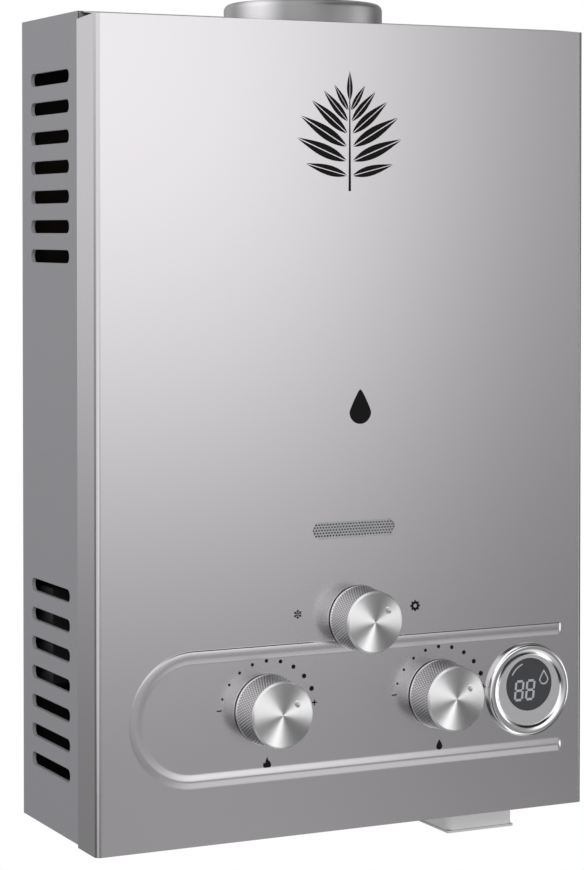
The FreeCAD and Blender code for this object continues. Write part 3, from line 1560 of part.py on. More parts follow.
# ---- water valve -----------------------------------------------------------------------------

def clamp_screw_places():
    """Where the clamp screws stand round the diaphragm."""
    count = int(value("clamp_screw_count"))
    for index in range(count):
        angle = 360 * (index + 0.5) / count
        across = "stem_y + clamp_circle_radius * cos(%s)" % angle
        along = "knob_z + clamp_circle_radius * sin(%s)" % angle
        yield index, across, along


def clamp_drills(name, start, length):
    return [
        rod("%s_clamp_drill_%d" % (name, index), (start, across, along), "+X",
            "clamp_screw_radius + screw_clearance", length)
        for index, across, along in clamp_screw_places()
    ]


def make_water_valve_body():
    """Brass body: diaphragm flange, inlet from below, throttle bore in front, outlet on top."""
    flange = rod("water_flange", ("water_flange_x - flange_thickness", "stem_y", "knob_z"), "+X",
                 "diaphragm_radius", "flange_thickness")
    block = slab("water_block", ("water_flange_x", "valve_front", "valve_foot"),
                 ("water_valve_left + water_valve_right", "valve_thickness", "valve_height"))
    chamber = rod("water_chamber", ("water_flange_x - flange_thickness", "stem_y", "knob_z"),
                  "+X", "chamber_radius", "chamber_depth")
    gallery = rod("water_gallery", ("water_flange_x - flange_thickness", "stem_y", "knob_z"),
                  "+X", "inlet_bore", "water_outlet_x - water_flange_x + flange_thickness")
    inlet = rod("water_inlet_bore", ("water_knob_x", "stem_y", "valve_foot"), "+Z",
                "nipple_bore", "valve_height / 2")
    outlet = rod("water_outlet_bore", ("water_outlet_x", "stem_y", "knob_z"), "+Z",
                 "outlet_bore", "valve_height")
    throttle = rod("water_throttle_bore", ("water_knob_x", "valve_front", "knob_z"), "+Y",
                   "plug_radius", "plug_length")
    cross = rod("water_cross_bore", ("water_knob_x", "valve_front + plug_length", "knob_z"),
                "+Y", "inlet_bore", "valve_depth - plug_length - stem_back")
    drain = rod("water_drain_bore", ("drain_x", "-drain_back", "valve_foot"), "+Z",
                "drain_radius + running_clearance", "drain_bite * 2")
    blank = fused("water_blank", [flange, block])
    drills = clamp_drills("body", "water_flange_x - flange_thickness",
                          "clamp_screw_bite + screw_clearance")
    return node(cut("water_valve_body", blank, [chamber, gallery, inlet, outlet, throttle, cross,
                                                drain] + drills))


def make_water_valve_cover():
    """Clamps the diaphragm and guides the stem through its hub."""
    disc = rod("valve_cover_disc", ("valve_cover_x", "stem_y", "knob_z"), "+X",
               "diaphragm_radius", "valve_cover_thickness")
    hub = rod("valve_cover_hub", ("hub_x", "stem_y", "knob_z"), "+X", "hub_radius", "hub_length")
    room = rod("valve_cover_room", ("diaphragm_x - chamber_depth", "stem_y", "knob_z"), "+X",
               "chamber_radius", "chamber_depth")
    guide = rod("valve_cover_guide", ("hub_x", "stem_y", "knob_z"), "+X",
                "stem_radius + running_clearance", "hub_length + valve_cover_thickness")
    recess = rod("seal_recess", ("hub_x", "stem_y", "knob_z"), "+X",
                 "seal_recess_radius", "seal_recess_depth")
    drills = clamp_drills("cover", "valve_cover_x", "valve_cover_thickness")
    return node(cut("water_valve_cover", fused("valve_cover_blank", [disc, hub]),
                    [room, guide, recess] + drills))


def make_stem_seal():
    """A rubber ring round the stem in the hub's recess."""
    ring = doc.addObject("Part::Torus", "stem_seal")
    ring.setExpression("Radius1", rule("stem_radius + running_clearance + seal_radius"))
    ring.setExpression("Radius2", rule("seal_radius"))
    return node(place(ring, ("hub_x + seal_recess_depth / 2", "stem_y", "knob_z"), "+X"))


def make_diaphragm():
    """A rubber sheet clamped between the water valve's body and its cover."""
    disc = rod("diaphragm_sheet", ("diaphragm_x", "stem_y", "knob_z"), "+X",
               "diaphragm_radius", "diaphragm_thickness")
    return node(cut("diaphragm", disc, clamp_drills("sheet", "diaphragm_x - diaphragm_thickness",
                                                    "diaphragm_thickness * 3")))


def make_clamp_screws():
    """Six screws through the cover and the diaphragm into the body's flange."""
    screws = []
    length = "valve_cover_thickness + diaphragm_thickness + clamp_screw_bite"
    for index, across, along in clamp_screw_places():
        head = rod("clamp_head_%d" % index, ("valve_cover_x", across, along), "-X",
                   "clamp_head_radius", "clamp_head_height")
        shank = rod("clamp_shank_%d" % index, ("valve_cover_x", across, along), "+X",
                    "clamp_screw_radius", length)
        screws.append(fused("clamp_screw_%d" % index, [head, shank]))
    return node(group("clamp_screws", screws))


def make_microswitch():
    """A switch on the valve cover; its pin rides on the stem's trip disc."""
    low = ("valve_cover_x - switch_length", "stem_y - switch_width / 2", "switch_z")
    case = slab("switch_case", low, ("switch_length", "switch_width", "switch_height"))
    pin_z = "switch_z + switch_height / 2"
    well = rod("switch_well", ("valve_cover_x - switch_length", "stem_y", pin_z), "+X",
               "switch_pin_radius + running_clearance", "switch_pin_depth")
    node(cut("microswitch", case, [well]))
    start = "trip_disc_x + trip_disc_thickness"
    end = "valve_cover_x - switch_length + switch_pin_depth - stem_lift"
    node(rod("switch_pin", (start, "stem_y", pin_z), "+X", "switch_pin_radius",
             "(%s) - (%s)" % (end, start)))


def make_drain_tap():
    """A plug screwed into the water valve from below, with a ribbed cap for the fingers."""
    cap_foot = "foot - drain_cap_height - panel_gap"
    cap = rod("drain_cap", ("drain_x", "-drain_back", cap_foot), "+Z",
              "drain_cap_radius", "drain_cap_height")
    shank = rod("drain_shank", ("drain_x", "-drain_back", cap_foot), "+Z", "drain_radius",
                "valve_foot + drain_bite - (%s)" % cap_foot)
    return node(fused("drain_tap", [cap, shank]))


# ---- connections -----------------------------------------------------------------------------

def make_nipples():
    """Three threaded nipples through the bottom panel, flanged above it."""
    seat = "foot + casing_sheet"
    for name, across, along in connections():
        top = "valve_foot"
        if name == "hot_outlet":
            top = seat + " + nipple_flange + nipple_neck_rise"
        node(turned(name + "_nipple", [
            ("nipple_radius", "foot - nipple_drop"),
            ("nipple_radius", "foot - nut_height"),
            ("nipple_radius - thread_relief", "foot - nut_height"),
            ("nipple_radius - thread_relief", seat),
            ("nipple_flange_radius", seat),
            ("nipple_flange_radius", seat + " + nipple_flange"),
            ("nipple_neck_radius", seat + " + nipple_flange"),
            ("nipple_neck_radius", top),
            ("nipple_bore", top),
            ("nipple_bore", "foot - nipple_drop"),
        ], (across, along, "0"), "+Z"))


def make_lock_nuts():
    """A hexagon nut on each nipple, tight under the bottom panel."""
    nuts = []
    for name, across, along in connections():
        start = "foot - nut_height"
        blank = hexagon(name + "_nut_blank", (across, along, start), "+Z", "nut_across",
                        "nut_height")
        hole = rod(name + "_nut_hole", (across, along, start), "+Z",
                   "nipple_radius + press_clearance", "nut_height")
        nuts.append(cut(name + "_nut", blank, [hole]))
    return node(group("lock_nuts", nuts))


# ---- battery box -----------------------------------------------------------------------------

def make_battery_box():
    """Plastic box that hangs through the bottom panel, open below, with hinge ears behind."""
    body = new_body("battery_box")
    plan = sketch_on(body, "battery_plan", "XY_Plane", "lid_top + lid_gap")
    draw_rounded(plan, ("box_left_x", "box_front"), ("box_right_x", "box_back"),
                 "battery_box_corner")
    pad(body, plan, "box_top - lid_top - lid_gap")
    room = sketch_on(body, "battery_room", "XY_Plane", "lid_top")
    draw_rounded(
        room,
        ("box_left_x + plastic_wall", "box_front + plastic_wall"),
        ("box_right_x - plastic_wall", "box_back - plastic_wall"),
        "battery_box_corner - plastic_wall",
    )
    pocket(body, room, "box_top - lid_top - plastic_wall", forward=True)
    for name, side in (("left", "-"), ("right", "+")):
        near = "battery_box_x %s (lid_tongue_length / 2 + lid_gap)" % side
        ear = sketch_on(body, name + "_ear", "YZ_Plane", near)
        reach = "lid_pivot_y + lid_knuckle_radius"
        draw_outline(ear, [
            ("box_back - plastic_wall / 2", "lid_top + lid_gap"),
            ("box_back - plastic_wall / 2", "lid_pivot_z + lid_ear_rise"),
            (reach, "lid_pivot_z + lid_ear_shoulder"),
            (reach, "lid_pivot_z - lid_knuckle_radius"),
            ("lid_pivot_y - lid_knuckle_radius", "lid_pivot_z - lid_knuckle_radius"),
            ("box_back + lid_gap", "lid_top + lid_gap"),
        ])
        cheek = pad(body, ear, "lid_ear_thickness")
        cheek.Reversed = side == "-"
        hole = sketch_on(body, name + "_ear_hole", "YZ_Plane", near)
        draw_circle(hole, "lid_pivot_y", "lid_pivot_z", "lid_pin_radius + running_clearance")
        pocket(body, hole, "lid_ear_thickness", forward=side == "+")
    return node(body)


def make_battery_lid():
    """The box's floor: it swings down about two pins on the tongue at its rear edge."""
    plate = slab("lid_plate", ("box_left_x", "box_front", "box_foot"),
                 ("battery_box_width", "battery_box_depth", "lid_thickness"))
    tongue_x = "battery_box_x - lid_tongue_length / 2"
    tongue = slab("lid_tongue", (tongue_x, "box_back - lid_gap", "box_foot"),
                  ("lid_tongue_length", "lid_pivot_back + lid_gap", "lid_thickness"))
    knuckle = rod("lid_knuckle", (tongue_x, "lid_pivot_y", "lid_pivot_z"), "+X",
                  "lid_knuckle_radius", "lid_tongue_length")
    pin_length = "lid_tongue_length + (lid_gap + lid_ear_thickness) * 2 - lid_gap"
    pins = rod("lid_pins", ("battery_box_x - (%s) / 2" % pin_length, "lid_pivot_y",
                            "lid_pivot_z"), "+X", "lid_pin_radius", pin_length)
    return node(fused("battery_lid", [plate, tongue, knuckle, pins]))


def cell_xs():
    return ("battery_box_x - cell_radius - cell_gap / 2",
            "battery_box_x + cell_radius + cell_gap / 2")


def make_battery_cells():
    """Two round cells side by side, each with its raised pole."""
    cells = []
    for index, across in enumerate(cell_xs()):
        pole_side = 1 if index == 0 else -1
        start = "cell_front_y" if pole_side > 0 else "cell_front_y + pole_height"
        body = rod("cell_body_%d" % index, (across, start, "cell_z"), "+Y", "cell_radius",
                   "cell_length - pole_height")
        pole_y = "cell_front_y" if pole_side < 0 else "cell_back_y - pole_height"
        pole = rod("cell_pole_%d" % index, (across, pole_y, "cell_z"), "+Y", "pole_radius",
                   "pole_height")
        cells.append(fused("cell_%d" % index, [body, pole]))
    return node(group("battery_cells", cells))


def make_cell_contacts():
    """Sprung metal strips between the cells' ends and the box's end walls."""
    strips = []
    inner_front = "box_front + plastic_wall"
    inner_back = "box_back - plastic_wall"
    low_z = "cell_z - contact_width / 2"
    link = slab("contact_link", ("battery_box_x - contact_link_length / 2", inner_front, low_z),
                ("contact_link_length", "contact_sheet", "contact_width"))
    strips.append(link)
    for index, across in enumerate(cell_xs()):
        strips.append(slab("contact_strip_%d" % index,
                           (across + " - contact_width / 2", inner_back + " - contact_sheet",
                            low_z),
                           ("contact_width", "contact_sheet", "contact_width")))
    return node(group("cell_contacts", strips))


# ---- electrics -------------------------------------------------------------------------------

def make_controller():
    """The ignition controller's case, screwed to the back wall on the left."""
    return node(slab("ignition_controller",
                     ("controller_x", "-casing_sheet - controller_depth", "controller_foot"),
                     ("controller_length", "controller_depth", "controller_height")))


def electrode_xs():
    return ("-electrode_spacing", "0", "electrode_spacing")


def make_electrodes():
    """Two spark electrodes and a flame sensor: ceramic sleeves with wire tips over the blades."""
    rods = []
    for index, across in enumerate(electrode_xs()):
        start = (across, "electrode_end_y", "electrode_z")
        sleeve = rod("electrode_sleeve_%d" % index, start, "+Y",
                     "electrode_radius", "electrode_length")
        wire = rod("electrode_wire_%d" % index, start, "+Y",
                   "electrode_wire", "electrode_length + electrode_tip")
        rods.append(fused("electrode_%d" % index, [sleeve, wire]))
    return node(group("electrodes", rods))


def make_temperature_probe():
    """A probe clipped along the hot pipe."""
    return node(rod("temperature_probe", ("hot_pipe_x", "probe_y", "shell_foot"), "+Z",
                    "probe_radius", "probe_length"))


def lead_routes():
    """The corners of every lead's run, each as a triple of rules; all start at the controller."""
    routes = []
    for index, across in enumerate(electrode_xs()):
        side_x = "lead_side_x - lead_spread * %d" % index
        front_y = "-lead_front - lead_spread * %d" % index
        routes.append([
            (side_x, "-lead_back", "controller_top"),
            (side_x, "-lead_back", "electrode_z"),
            (side_x, front_y, "electrode_z"),
            (across, front_y, "electrode_z"),
            (across, "electrode_end_y", "electrode_z"),
        ])
    probe_level = "controller_top + lead_pitch"
    routes.append([
        ("hot_pipe_x", "-lead_back", "controller_top"),
        ("hot_pipe_x", "-lead_back", probe_level),
        ("hot_pipe_x", "probe_y", probe_level),
        ("hot_pipe_x", "probe_y", "shell_foot"),
    ])
    display_level = "controller_foot + lead_pitch / 2"
    routes.append([
        ("controller_right_x", "-lead_back", display_level),
        ("display_x", "-lead_back", display_level),
        ("display_x", "front_inside + display_housing_depth", display_level),
    ])
    switch_level = "controller_foot + lead_pitch * 2"
    switch_x = "valve_cover_x - switch_length / 2"
    routes.append([
        ("controller_right_x", "-lead_back", switch_level),
        (switch_x, "-lead_back", switch_level),
        (switch_x, "stem_y", switch_level),
        (switch_x, "stem_y", "switch_z + switch_height"),
    ])
    coil_level = "controller_foot + lead_pitch * 3"
    routes.append([
        ("controller_right_x", "-lead_back", coil_level),
        ("coil_can_axis_x", "-lead_back", coil_level),
        ("coil_can_axis_x", "-coil_can_back", coil_level),
        ("coil_can_axis_x", "-coil_can_back", "valve_head + coil_can_height"),
    ])
    battery_level = "box_top + lead_pitch"
    battery_y = "(box_front + box_back) / 2"
    routes.append([
        ("controller_right_x - lead_pitch", "-lead_back", "controller_foot"),
        ("controller_right_x - lead_pitch", "-lead_back", battery_level),
        ("battery_box_x", "-lead_back", battery_level),
        ("battery_box_x", battery_y, battery_level),
        ("battery_box_x", battery_y, "box_top"),
    ])
    return routes


def make_wiring():
    """Leads to the electrodes, the probe, the display, the switch, the solenoid and the cells."""
    bend, radius = value("lead_bend"), value("lead_radius")
    leads = []
    for route in lead_routes():
        corners = [tuple(value(text) for text in corner) for corner in route]
        leads.append(tube_along(corners, bend, radius))
    return node(shaped("wiring", Part.makeCompound(leads)))


def make_all():
    make_rear_casing()
    make_top_panel()
    make_bottom_panel()
    make_hanger_plate()
    make_rivets()
    make_front_cover()
    make_cover_screws()
    make_window_grille()
    make_controls()
    make_display()
    make_flue_collar()
    make_flue_hood()
    make_exchanger_shell()
    make_exchanger_fins()
    make_exchanger_tubes()
    make_water_coil()
    make_hot_pipe()
    make_support_brackets()
    make_burner_frame()
    make_burner_blades()
    make_gas_manifold()
    make_gas_nozzles()
    make_season_valve()
    make_gas_riser()
    make_gas_valve_body()
    make_gas_valve_plug()
    make_gas_valve_spring()
    make_gas_valve_disc()
    make_valve_stem()
    make_solenoid()
    make_water_valve_body()
    make_water_valve_cover()
    make_stem_seal()
    make_diaphragm()
    make_clamp_screws()
    make_microswitch()
    make_drain_tap()
    make_nipples()
    make_lock_nuts()
    make_battery_box()
    make_battery_lid()
    make_battery_cells()
    make_cell_contacts()
    make_controller()
    make_electrodes()
    make_temperature_probe()
    make_wiring()


def check_all():
    """Stops if any object failed, or if a finished piece has no sound shape."""
    for thing in doc.Objects:
        if "Invalid" in thing.State or "Error" in thing.State:
            raise RuntimeError("%s is in state %s" % (thing.Name, thing.State))
    for piece in nodes:
        if piece.Shape.isNull() or not piece.Shape.isValid() or not piece.Shape.Solids:
            raise RuntimeError("%s has no sound shape" % piece.Label)


make_all()
places.clear(SCRATCH_CELL)
doc.recompute()
check_all()
os.makedirs("parts", exist_ok=True)
for piece in nodes:
    piece.Shape.exportStep("parts/%s.step" % piece.Label)
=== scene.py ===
import json
import math
from math import cos, pi, radians, sin

import bmesh
import bpy
from bpy.props import FloatProperty, FloatVectorProperty, IntProperty, PointerProperty
from mathutils import Matrix, Vector


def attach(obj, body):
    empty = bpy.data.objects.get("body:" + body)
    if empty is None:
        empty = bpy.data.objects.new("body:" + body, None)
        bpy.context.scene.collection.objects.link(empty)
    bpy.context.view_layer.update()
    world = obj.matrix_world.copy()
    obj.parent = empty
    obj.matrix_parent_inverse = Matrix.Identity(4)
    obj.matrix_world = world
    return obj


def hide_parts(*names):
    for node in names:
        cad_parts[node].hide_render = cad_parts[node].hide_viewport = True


bl_info = {
    "name": "Gas Water Heater Looks",
    "version": (1, 0, 0),
    "blender": (4, 5, 0),
    "location": "3D View > Sidebar > Heater",
    "description": "Finishes and fine shapes for a wall-hung gas water heater",
    "category": "Object",
}

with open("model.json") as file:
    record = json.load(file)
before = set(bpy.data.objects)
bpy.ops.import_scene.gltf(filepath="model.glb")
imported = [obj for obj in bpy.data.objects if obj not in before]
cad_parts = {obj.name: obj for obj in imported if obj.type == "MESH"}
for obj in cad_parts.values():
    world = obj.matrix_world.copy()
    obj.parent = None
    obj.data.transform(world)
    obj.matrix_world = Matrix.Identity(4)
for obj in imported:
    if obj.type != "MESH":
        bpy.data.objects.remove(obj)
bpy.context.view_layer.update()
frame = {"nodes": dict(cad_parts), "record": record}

MM = 0.001
FRONT_Y = -160 * MM
FOOT_Z = -595.3 * MM
SIDE_X = 216 * MM
FLUE_Y = -75 * MM
# knob: its middle, its radius at the foot and at the face, and the bearing of its mark
KNOBS = {
    "gas": ((-73 * MM, FRONT_Y, -494.3 * MM), 27.8 * MM, 26 * MM, 32.5),
    "water": ((80.4 * MM, FRONT_Y, -494.3 * MM), 27.8 * MM, 26 * MM, 32.5),
    "season": ((7 * MM, FRONT_Y, -428.3 * MM), 26 * MM, 24.4 * MM, 38.5),
}
KNOB_STAND = 28.7 * MM
KNOB_CHAMFER = 1.3 * MM
KNOB_WALL = 1.4 * MM
KNOB_INNER = KNOB_STAND - 2.1 * MM
DISPLAY = (162.5 * MM, -497.5 * MM)
PRINT_PROUD = 0.06 * MM
SLOT_ROWS = 7
SLOT_PITCH = 23.25 * MM
SLOT_FEET = (-544.4 * MM, -142.5 * MM)
WHITE = (1, 1, 1, 1)
BLACK = (0, 0, 0, 1)
# near-black painted shade for the inside of the casing
INSIDE_SHADE = (0.006, 0.006, 0.006, 1)


# ---- shader graphs ----

def operator(name, swapped=False):
    """What a sum of sockets or numbers does: it adds a Math node."""
    def apply(term, other):
        return term.graph.maths(name, *((other, term) if swapped else (term, other)))
    return apply


class Term:
    """A shader socket that takes part in Python sums."""

    __add__ = __radd__ = operator("ADD")
    __mul__ = __rmul__ = operator("MULTIPLY")
    __sub__, __rsub__ = operator("SUBTRACT"), operator("SUBTRACT", True)
    __truediv__, __rtruediv__ = operator("DIVIDE"), operator("DIVIDE", True)

    def __init__(self, graph, socket):
        self.graph = graph
        self.socket = socket


class Graph:
    """The node tree of one material or world."""

    def __init__(self, owner):
        owner.use_nodes = True
        self.tree = owner.node_tree
        self.tree.nodes.clear()

    def node(self, kind, settings=None, inputs=None, output=0):
        """Makes a node: its settings first, then the values and links of its sockets."""
        made = self.tree.nodes.new(kind)
        for name, setting in (settings or {}).items():
            setattr(made, name, setting)
        for key, entry in (inputs or {}).items():
            if isinstance(entry, Term):
                self.tree.links.new(entry.socket, made.inputs[key])
            else:
                made.inputs[key].default_value = entry
        return Term(self, made.outputs[output]) if made.outputs else made

    def maths(self, operation, *terms):
        return self.node("ShaderNodeMath", {"operation": operation}, dict(enumerate(terms)))

    def degrees(self, operation, *terms):
        return self.maths(operation, *terms) * math.degrees(1)

    def place(self):
        """Object coordinates, in metres."""
        return self.node("ShaderNodeTexCoord", output="Object")

    def parts(self, vector=None):
        """The x, y and z of a vector, or else of the place."""
        split = self.node("ShaderNodeSeparateXYZ", inputs={0: vector or self.place()})
        return [Term(self, socket) for socket in split.socket.node.outputs]

    def step(self, number, low, high, start=0.0, end=1.0):
        """A soft step from start to end while the number goes from low to high."""
        return self.node("ShaderNodeMapRange", {"interpolation_type": "SMOOTHSTEP"},
                         {"Value": number, "From Min": low, "From Max": high,
                          "To Min": start, "To Max": end})

    def within(self, number, low, high, soft):
        """One between two numbers and nought beyond, with soft ends."""
        return (self.step(number, low - soft, low + soft)
                * self.step(number, high - soft, high + soft, 1, 0))

    def blend(self, factor, first, second):
        """A colour between two colours."""
        return self.node("ShaderNodeMix", {"data_type": "RGBA"},
                         {0: factor, 6: first, 7: second}, output=2)

    def grain(self, waves):
        """Noise with so many waves per metre, or so many each along x, y and z."""
        waves = waves if isinstance(waves, tuple) else (waves, waves, waves)
        place = self.node("ShaderNodeVectorMath", {"operation": "MULTIPLY"},
                          {0: self.place(), 1: waves})
        return self.node("ShaderNodeTexNoise", inputs={"Vector": place, "Scale": 1.0,
                                                       "Detail": 3.0})


def rgba(colour, share=1.0):
    """An opaque colour, with its tone times a share."""
    return (*[min(1, part * share) for part in colour], 1.0)


def principled(name, colour, roughness, metallic=0.0, bump=None, **constants):
    """A material from functions that get the graph and give its colour and roughness."""
    material = bpy.data.materials.new(name)
    graph = Graph(material)
    inputs = {"Metallic": metallic}
    inputs.update({key.replace("_", " "): entry for key, entry in constants.items()})
    inputs["Base Color"] = colour(graph)
    inputs["Roughness"] = roughness(graph)
    if bump:
        inputs["Normal"] = graph.node("ShaderNodeBump", inputs={
            "Height": bump[0](graph), "Distance": bump[1], "Strength": 1.0})
    surface = graph.node("ShaderNodeBsdfPrincipled", inputs=inputs)
    graph.node("ShaderNodeOutputMaterial", inputs={"Surface": surface})
    return material


def grained(name, colour, roughness, metallic, contrast, waves, depth=0.0, over=None,
            **constants):
    """A finish whose tone and roughness wander a little with a grain.

    Over gets the graph and that tone, and gives the colour.
    """
    def grain(graph):
        return graph.grain(waves)

    def tone(graph):
        coat = graph.blend(grain(graph), rgba(colour, 1 - contrast), rgba(colour, 1 + contrast))
        return over(graph, coat) if over else coat

    return principled(name, tone,
                      lambda graph: grain(graph) * roughness * 0.5 + roughness * 0.75,
                      metallic, (grain, depth) if depth else None, **constants)


# slot: colour, roughness, metallic, contrast, waves per metre and, if any, bump in metres
FINISHES = {
    "zinc_sheet": ((0.5, 0.52, 0.54), 0.42, 1, 0.18, 60),
    "rivet_metal": ((0.62, 0.62, 0.64), 0.35, 1, 0.1, 900),
    "screw_steel": ((0.6, 0.6, 0.6), 0.25, 1, 0.1, 600),
    "grille_steel": ((0.52, 0.52, 0.53), 0.34, 1, 0.12, 500),
    "brass": ((0.7, 0.49, 0.2), 0.3, 1, 0.12, 200),
    "display_silver": ((0.58, 0.58, 0.6), 0.38, 0.9, 0.06, (60, 60, 2400)),
    "circuit_board": ((0.02, 0.13, 0.06), 0.4, 0, 0.35, 240),
    "black_plastic": ((0.022, 0.022, 0.023), 0.45, 0, 0.25, 1500, 2e-5),
    "bright_steel": ((0.52, 0.52, 0.53), 0.42, 1, 0.05, (60, 60, 900)),
    "copper": ((0.72, 0.33, 0.18), 0.32, 1, 0.2, 45),
    "burner_steel": ((0.4, 0.4, 0.4), 0.38, 1, 0.2, 90),
    "cast_metal": ((0.45, 0.46, 0.47), 0.5, 1, 0.15, 700, 4e-5),
    "spring_steel": ((0.35, 0.35, 0.36), 0.3, 1, 0.1, 900),
    "rubber": ((0.018, 0.018, 0.018), 0.7, 0, 0.2, 900, 2e-5),
    "coil_wrap": ((0.035, 0.045, 0.14), 0.5, 0, 0.3, (30, 30, 2200), 4e-5),
    "armature_steel": ((0.4, 0.4, 0.42), 0.3, 1, 0.1, (60, 60, 1500)),
    "switch_red": ((0.4, 0.02, 0.015), 0.35, 0, 0.15, 900),
    "box_plastic": ((0.78, 0.78, 0.79), 0.42, 0, 0.04, 1400, 1e-5),
    "cell_wrap": ((0.02, 0.025, 0.04), 0.3, 0, 0.3, 60),
    "contact_metal": ((0.6, 0.59, 0.55), 0.25, 1, 0.1, 400),
    "controller_case": ((0.02, 0.02, 0.021), 0.5, 0, 0.2, 1200, 1e-5),
    "ceramic": ((0.78, 0.75, 0.69), 0.2, 0, 0.06, 200),
    "lead_cover": ((0.2, 0.015, 0.012), 0.5, 0, 0.2, 500),
    "knob_metal": ((0.78, 0.78, 0.79), 0.13, 1, 0.05, 700),
    "bezel_chrome": ((0.8, 0.8, 0.81), 0.05, 1, 0.03, 300),
    "display_dark": ((0.045, 0.045, 0.05), 0.16, 0, 0.25, 900),
}


# ---- meshes ----

def smoothed(mesh, sharp):
    """Shades a mesh smooth, but for its edges above an angle in degrees."""
    mesh.shade_smooth()
    mesh.set_sharp_from_angle(angle=radians(sharp))
    return mesh


def merged_solid(node):
    """A bmesh of a solid of the frame, with its doubled points merged."""
    work = bmesh.new()
    work.from_mesh(frame["nodes"][node].data)
    bmesh.ops.remove_doubles(work, verts=work.verts, dist=1e-6)
    return work


def emptied(work, name):
    """A new mesh out of a bmesh; the bmesh itself goes."""
    mesh = bpy.data.meshes.new(name)
    work.to_mesh(mesh)
    work.free()
    return mesh


def finished_mesh(name, points, faces, sharp=30, outward=None):
    """A mesh with doubles merged, normals facing out and edges sharp above an angle."""
    mesh = bpy.data.meshes.new(name)
    mesh.from_pydata([tuple(point) for point in points], [], faces)
    work = bmesh.new()
    work.from_mesh(mesh)
    bmesh.ops.remove_doubles(work, verts=work.verts, dist=1e-7)
    bmesh.ops.dissolve_degenerate(work, edges=work.edges, dist=1e-8)
    bmesh.ops.recalc_face_normals(work, faces=work.faces)
    if outward and sum(face.normal.dot(outward) for face in work.faces) < 0:
        bmesh.ops.reverse_faces(work, faces=work.faces)
    work.to_mesh(mesh)
    work.free()
    return smoothed(mesh, sharp)


def flattened(mesh, least, sharp=35):
    """Shades the mesh smooth, but keeps flat every plane whose faces sum up to an area."""
    smoothed(mesh, sharp)
    limit = cos(radians(sharp))
    keys = [tuple(round(part, 3) for part in face.normal) for face in mesh.polygons]
    planes = {}
    for key, face in zip(keys, mesh.polygons):
        planes[key] = planes.get(key, 0) + face.area
    large = {}
    for key, face in zip(keys, mesh.polygons):
        if planes[key] > least:
            for corner in face.vertices:
                large.setdefault(corner, []).append((planes[key], face.normal.copy()))
    normals = [corner.vector.copy() for corner in mesh.corner_normals]
    for key, face in zip(keys, mesh.polygons):
        for loop in face.loop_indices:
            near = [entry for entry in large.get(mesh.loops[loop].vertex_index, ())
                    if entry[1].dot(face.normal) > limit]
            if planes[key] > least:
                normals[loop] = face.normal.copy()
            elif near:
                normals[loop] = max(near, key=lambda entry: entry[0])[1]
    mesh.normals_split_custom_set(normals)
    return mesh


def applied(carrier):
    """What an object's modifiers make of it; the object itself goes."""
    bpy.context.view_layer.update()
    depsgraph = bpy.context.evaluated_depsgraph_get()
    mesh = bpy.data.meshes.new_from_object(carrier.evaluated_get(depsgraph))
    bpy.data.objects.remove(carrier)
    return mesh


def strip_faces(rows, columns, closed_rows=False, closed_columns=True):
    """Quads of a grid of points, whose rows or columns may close on themselves."""
    faces = []
    for row in range(rows if closed_rows else rows - 1):
        above = (row + 1) % rows
        for column in range(columns if closed_columns else columns - 1):
            beside = (column + 1) % columns
            faces.append((row * columns + column, row * columns + beside,
                          above * columns + beside, above * columns + column))
    return faces


def turned(name, outline, at, axis, steps, shape=None, sharp=30):
    """A closed shape turned round an axis, from points of (radius, distance along the axis)."""
    points = []
    for radius, along in outline:
        for step in range(steps):
            angle = 2 * pi * step / steps
            reach, rise = (radius, along) if shape is None else shape(radius, along, angle)
            across, up = reach * cos(angle), reach * sin(angle)
            if axis == "-Y":
                points.append((at[0] + across, at[1] - rise, at[2] + up))
            else:
                points.append((at[0] + across, at[1] + up, at[2] + rise))
    return finished_mesh(name, points, strip_faces(len(outline), steps, True), sharp)


def plates(name, outlines, front, back):
    """Flat prisms between two depths, from outlines of (x, z) points."""
    points = []
    faces = []
    for outline in outlines:
        count = len(outline)
        first = len(points)
        points += [(x, front, z) for x, z in outline]
        points += [(x, back, z) for x, z in outline]
        faces.append(tuple(range(first, first + count)))
        faces.append(tuple(range(first + 2 * count - 1, first + count - 1, -1)))
        for corner in range(count):
            following = (corner + 1) % count
            faces.append((first + corner, first + count + corner,
                          first + count + following, first + following))
    return finished_mesh(name, points, faces)


def printed(name, outlines):
    """Outlines on the front cover, a paint layer thick."""
    return plates(name, outlines, FRONT_Y - PRINT_PROUD, FRONT_Y)


def linked(name, data):
    """A new object in the scene."""
    thing = bpy.data.objects.new(name, data)
    bpy.context.scene.collection.objects.link(thing)
    return thing


def add_piece(mesh, finish, body, slot, *nodes):
    """Puts a mesh into the scene as a piece that rides on a body and may stand for nodes."""
    mesh.materials.clear()
    mesh.materials.append(finish)
    piece = linked(mesh.name, mesh)
    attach(piece, body)
    if nodes:
        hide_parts(*nodes)


